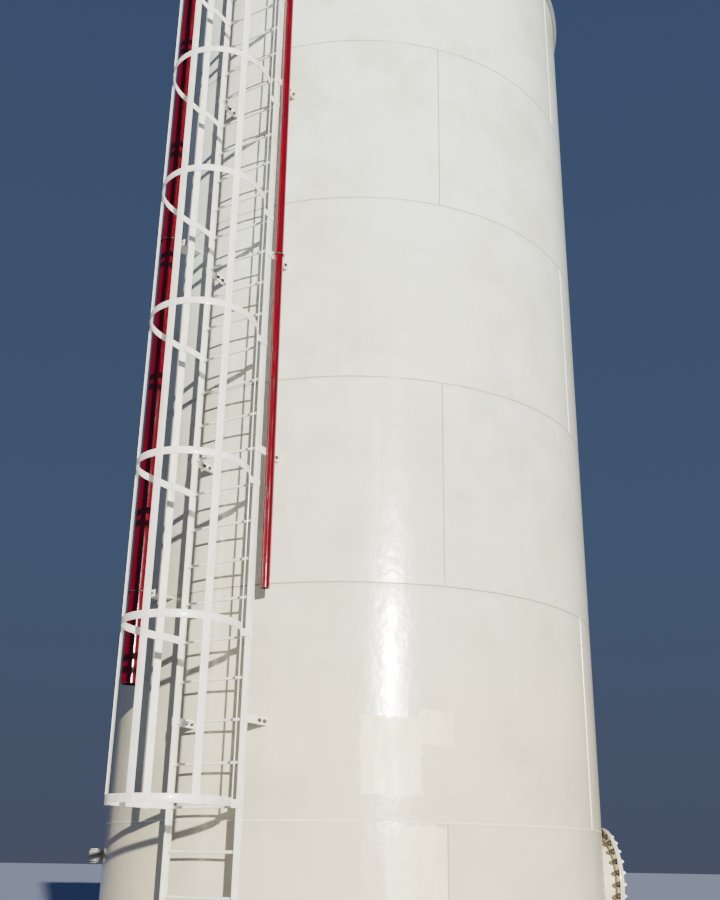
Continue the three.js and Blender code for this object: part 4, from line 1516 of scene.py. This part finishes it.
@dataclass
class Manway(SubAssembly):
    """Round side manway: pad, neck, flange, gasket and cover with its ring of bolts."""

    azimuth: float = MANWAY_AZIMUTH
    level: float = MANWAY_LEVEL
    neck: float = MANWAY_NECK
    neck_wall: float = 0.010
    flange: float = 0.492
    thick: float = 0.016
    reach: float = 0.150
    pad: float = 0.560
    bolts: int = 28
    bolt_circle: float = 0.455
    first_bolt: float = 0.15

    def build_pad(self) -> Body:
        """Builds the reinforcing pad, rolled to the wall's curve.

        Returns:
            The pad.
        """
        inside, outside = OUTER + 0.0002, OUTER + 0.0063
        points, faces, rings = [], [], []
        profile = [(self.neck - 0.001, inside), (self.neck - 0.001, outside), (self.pad - 0.005, outside),
                   (self.pad, outside - 0.004), (self.pad, inside)]
        sides = 96
        for radius, depth in profile:
            rings.append(len(points))
            for k in range(sides):
                turn = 2 * math.pi * k / sides
                across, up = radius * math.cos(turn), radius * math.sin(turn)
                azimuth = self.azimuth + math.degrees(math.asin(across / depth))
                points.append(on_circle(depth, azimuth, self.level + up))
        for ring, after in zip(rings, rings[1:] + rings[:1]):
            for k in range(sides):
                j = (k + 1) % sides
                faces.append((ring + k, ring + j, after + j, after + k))
        return Body(points, faces)

    def build(self) -> None:
        """Builds the whole manway."""
        end = OUTER + self.reach
        place = radial_frame(self.azimuth, self.level)
        tube = [(self.neck - self.neck_wall, INNER - 0.040), (self.neck, INNER - 0.040), (self.neck, end - 0.002),
                (self.neck - self.neck_wall, end - 0.002)]
        flange = rounded([(self.neck - self.neck_wall, end - self.thick), (self.flange, end - self.thick),
                          (self.flange, end), (self.neck - self.neck_wall, end)], 0.002, 2)
        body = gather([revolve(tube, 120, place), revolve(flange, 120, place), self.build_pad()])
        self.keep(to_mesh("manway_body", body, self.finishes.shell), Slot.SHELL, "manway_neck")
        near = end + 0.003
        low, high, rim = end + 0.0001, near - 0.0001, self.flange - 0.018
        gasket = [(self.neck, low), (rim, low), (rim, high), (self.neck, high)]
        self.keep(to_mesh("manway_gasket", revolve(gasket, 120, place), self.finishes.gasket), Slot.CAP)
        lid = [(0, near), (self.flange - 0.002, near), (self.flange, near + 0.002),
               (self.flange, near + self.thick - 0.002), (self.flange - 0.002, near + self.thick),
               (self.neck, near + self.thick), (0, near + self.thick)]
        self.keep(to_mesh("manway_lid", revolve(lid, 120, place), self.finishes.shell), Slot.SHELL, "manway_cover")
        out = on_circle(1.0, self.azimuth)
        spots = [place @ Vector((self.bolt_circle * math.cos(t), self.bolt_circle * math.sin(t), 0))
                 for t in (2 * math.pi * (k + self.first_bolt) / self.bolts for k in range(self.bolts))]
        ends = [spot + out * (near + self.thick) for spot in spots]
        backs = [spot + out * (end - self.thick) for spot in spots]
        self.set_fasteners("manway_bolt_heads", bolt(0.0190, 0.0035, 0.014), ends,
                           [tuple(out)] * self.bolts, 17, self.finishes.ladder, Slot.CAP)
        self.set_fasteners("manway_nuts", bolt(0.0225, 0.004, 0.012), backs,
                           [tuple(-out)] * self.bolts, 19, self.finishes.bolting, Slot.CAP)
        self.build_welds(place, end)

    def build_welds(self, place: Matrix, end: float) -> None:
        """Lays the welds round the pad, the neck and behind the flange.

        Args:
            place: The manway's frame.
            end: Radius of the flange's face.
        """
        paths = []
        for radius, depth in ((self.pad + 0.001, OUTER + 0.001), (self.neck + 0.001, OUTER + 0.0065)):
            ring = []
            for k in range(240):
                turn = 2 * math.pi * k / 240
                across, up = radius * math.cos(turn), radius * math.sin(turn)
                azimuth = self.azimuth + math.degrees(math.asin(across / depth))
                ring.append(on_circle(depth, azimuth, self.level + up))
            paths.append((ring, True))
        behind = [place @ Vector(((self.neck + 0.001) * math.cos(2 * math.pi * k / 180),
                                  (self.neck + 0.001) * math.sin(2 * math.pi * k / 180),
                                  end - self.thick - 0.001)) for k in range(180)]
        paths.append((behind, True))
        self.lay_weld("manway_welds", paths, 0.012, Slot.SHELL, self.finishes.weld, 0.002, 0.010)


@dataclass
class SideNozzle(SubAssembly):
    """Short threaded nozzle with a screwed cap."""

    azimuth: float = -50.0
    level: float = 1.560
    radius: float = 0.045
    cap: float = 0.060
    reach: float = 0.132

    def build(self) -> None:
        """Builds the nozzle, its cap and its weld."""
        place = radial_frame(self.azimuth, self.level)
        neck = revolve([(0, OUTER - 0.003), (self.radius, OUTER - 0.003), (self.radius, OUTER + 0.060),
                        (0, OUTER + 0.060)], 48, place)
        base, tip = OUTER + 0.036, OUTER + self.reach
        profile = [(0, base), (self.cap - 0.003, base), (self.cap, base + 0.003), (self.cap, base + 0.016),
                   (self.cap - 0.004, base + 0.021), (self.cap - 0.004, tip - 0.020), (self.cap - 0.007, tip - 0.010),
                   (self.cap - 0.016, tip - 0.002), (self.cap - 0.026, tip), (0, tip)]
        lugs = [revolve(profile, 48, place)]
        for k in range(8):
            turn = 2 * math.pi * k / 8
            reach = self.cap - 0.0045
            middle = (reach * math.cos(turn), reach * math.sin(turn), (base + tip) / 2 + 0.002)
            lugs.append(bar((0.008, 0.010, 0.060), middle, 0.002).moved(place))
        body = neck.joined(*lugs)
        self.keep(to_mesh("nozzle_and_cap", body, self.finishes.cap), Slot.CAP, "side_nozzle")
        ring = []
        for k in range(48):
            turn = 2 * math.pi * k / 48
            across, up = self.radius * math.cos(turn), self.radius * math.sin(turn)
            azimuth = self.azimuth + math.degrees(math.asin(across / OUTER))
            ring.append(on_circle(OUTER + 0.001, azimuth, self.level + up))
        self.lay_weld("nozzle_weld", [(ring, True)], 0.011, Slot.SHELL, self.finishes.weld, 0.0018, 0.006)


@dataclass
class Studio:
    """Floor, light and the camera at the photograph's viewing angle."""

    distance: float = 10.7941
    height: float = 1.545
    azimuth: float = 30.9
    pitch: float = 0.3654
    roll: float = 0.0164
    focal: float = 1076.05
    frame_height: float = 900.0
    key_azimuth: float = 46.2
    key_elevation: float = 9.5
    key_power: float = 11.3
    surround: tuple = ((0.0, "#9C9EB4"), (0.46, "#B0B6DA"), (0.62, "#A3C2FA"), (1.0, "#86ABF2"))
    surround_power: float = 0.17
    floor_radius: float = 280.0

    def build_camera(self) -> None:
        """Places the camera."""
        turn = math.radians(self.azimuth)
        ahead = Vector((-math.sin(turn), math.cos(turn), 0))
        look = ahead * math.cos(self.pitch) + Vector((0, 0, math.sin(self.pitch)))
        right = Vector((math.cos(turn), math.sin(turn), 0))
        up = right.cross(look)
        rolled_right = right * math.cos(self.roll) + up * math.sin(self.roll)
        rolled_up = up * math.cos(self.roll) - right * math.sin(self.roll)
        data = bpy.data.cameras.new("camera")
        data.sensor_fit = "VERTICAL"
        data.sensor_height = 36.0
        data.lens = self.focal / self.frame_height * 36.0
        data.clip_end = 400.0
        camera = bpy.data.objects.new("camera", data)
        matrix = Matrix((rolled_right, rolled_up, -look)).transposed().to_4x4()
        matrix.translation = Vector((self.distance * math.sin(turn), -self.distance * math.cos(turn), self.height))
        camera.matrix_world = matrix
        bpy.context.scene.collection.objects.link(camera)
        bpy.context.scene.camera = camera

    def build_lights(self) -> None:
        """Places a low warm key and a soft cool surround."""
        data = bpy.data.lights.new("key", "SUN")
        data.energy = self.key_power
        data.angle = math.radians(0.9)
        data.color = (1.0, 0.945, 0.845)
        key = bpy.data.objects.new("key", data)
        turn, lift = math.radians(self.key_azimuth), math.radians(self.key_elevation)
        toward = Vector((math.sin(turn) * math.cos(lift), -math.cos(turn) * math.cos(lift), math.sin(lift)))
        key.rotation_mode = "QUATERNION"
        key.rotation_quaternion = toward.to_track_quat("Z", "Y")
        bpy.context.scene.collection.objects.link(key)
        world = bpy.data.worlds.new("studio")
        bpy.context.scene.world = world
        world.use_nodes = True
        tree = world.node_tree
        place = add_node(tree, "ShaderNodeTexCoord").outputs["Generated"]
        parts = add_node(tree, "ShaderNodeSeparateXYZ", links={0: place})
        height = add_node(tree, "ShaderNodeMapRange", {1: -1.0, 2: 1.0}, {0: parts.outputs[2]})
        stops = [(stop, linear(code)) for stop, code in self.surround]
        fade = add_node(tree, "ShaderNodeValToRGB", {"stops": stops}, {0: height})
        tree.links.new(fade.outputs[0], tree.nodes["Background"].inputs["Color"])
        tree.nodes["Background"].inputs["Strength"].default_value = self.surround_power

    def build_floor(self) -> None:
        """Lays a plain pale floor."""
        mesh = bpy.data.meshes.new("floor")
        mesh.from_pydata([(a, b, 0) for a, b in circle(self.floor_radius, 96)], [], [tuple(range(96))])
        material = bpy.data.materials.new("plain_pale_floor")
        material.use_nodes = True
        shader = material.node_tree.nodes["Principled BSDF"]
        shader.inputs["Base Color"].default_value = linear("#98A2BE")
        shader.inputs["Roughness"].default_value = 0.9
        mesh.materials.append(material)
        floor = bpy.data.objects.new("floor", mesh)
        bpy.context.scene.collection.objects.link(floor)

    def build(self) -> None:
        """Builds the whole stage."""
        self.build_camera()
        self.build_lights()
        self.build_floor()


def main() -> None:
    """Builds the tank's sub-assemblies in order, and then the studio."""
    logging.basicConfig(level=logging.INFO, format="%(name)s: %(message)s")
    shared = (build_finishes(), weld_maker(), fastener_maker())
    Shell(*shared).build()
    Roof(*shared).build()
    Ladder(*shared, rungs=ladder_maker()).build()
    Cage(*shared, hoops=hoop_maker()).build()
    x, y, radius = LEFT_PIPE
    Standpipe(*shared, name="left_standpipe", x=x, y=y, radius=radius, wall=0.007, foot=2.880, top=10.420,
              bend=0.229, sleeves=((7.085, 7.215, 0.0045),)).build(
        "left_standpipe_lower", "left_standpipe_upper", "left_standpipe_elbow")
    x, y, radius = RIGHT_PIPE
    Standpipe(*shared, name="right_pipe", x=x, y=y, radius=radius, wall=0.005, foot=RIGHT_FOOT, top=RIGHT_TOP,
              bend=0.120, lean=RIGHT_LEAN).build("right_standpipe")
    PipeHangers(*shared).build()
    Manway(*shared).build()
    SideNozzle(*shared).build()
    Studio().build()


if __name__ == "__main__":
    main()
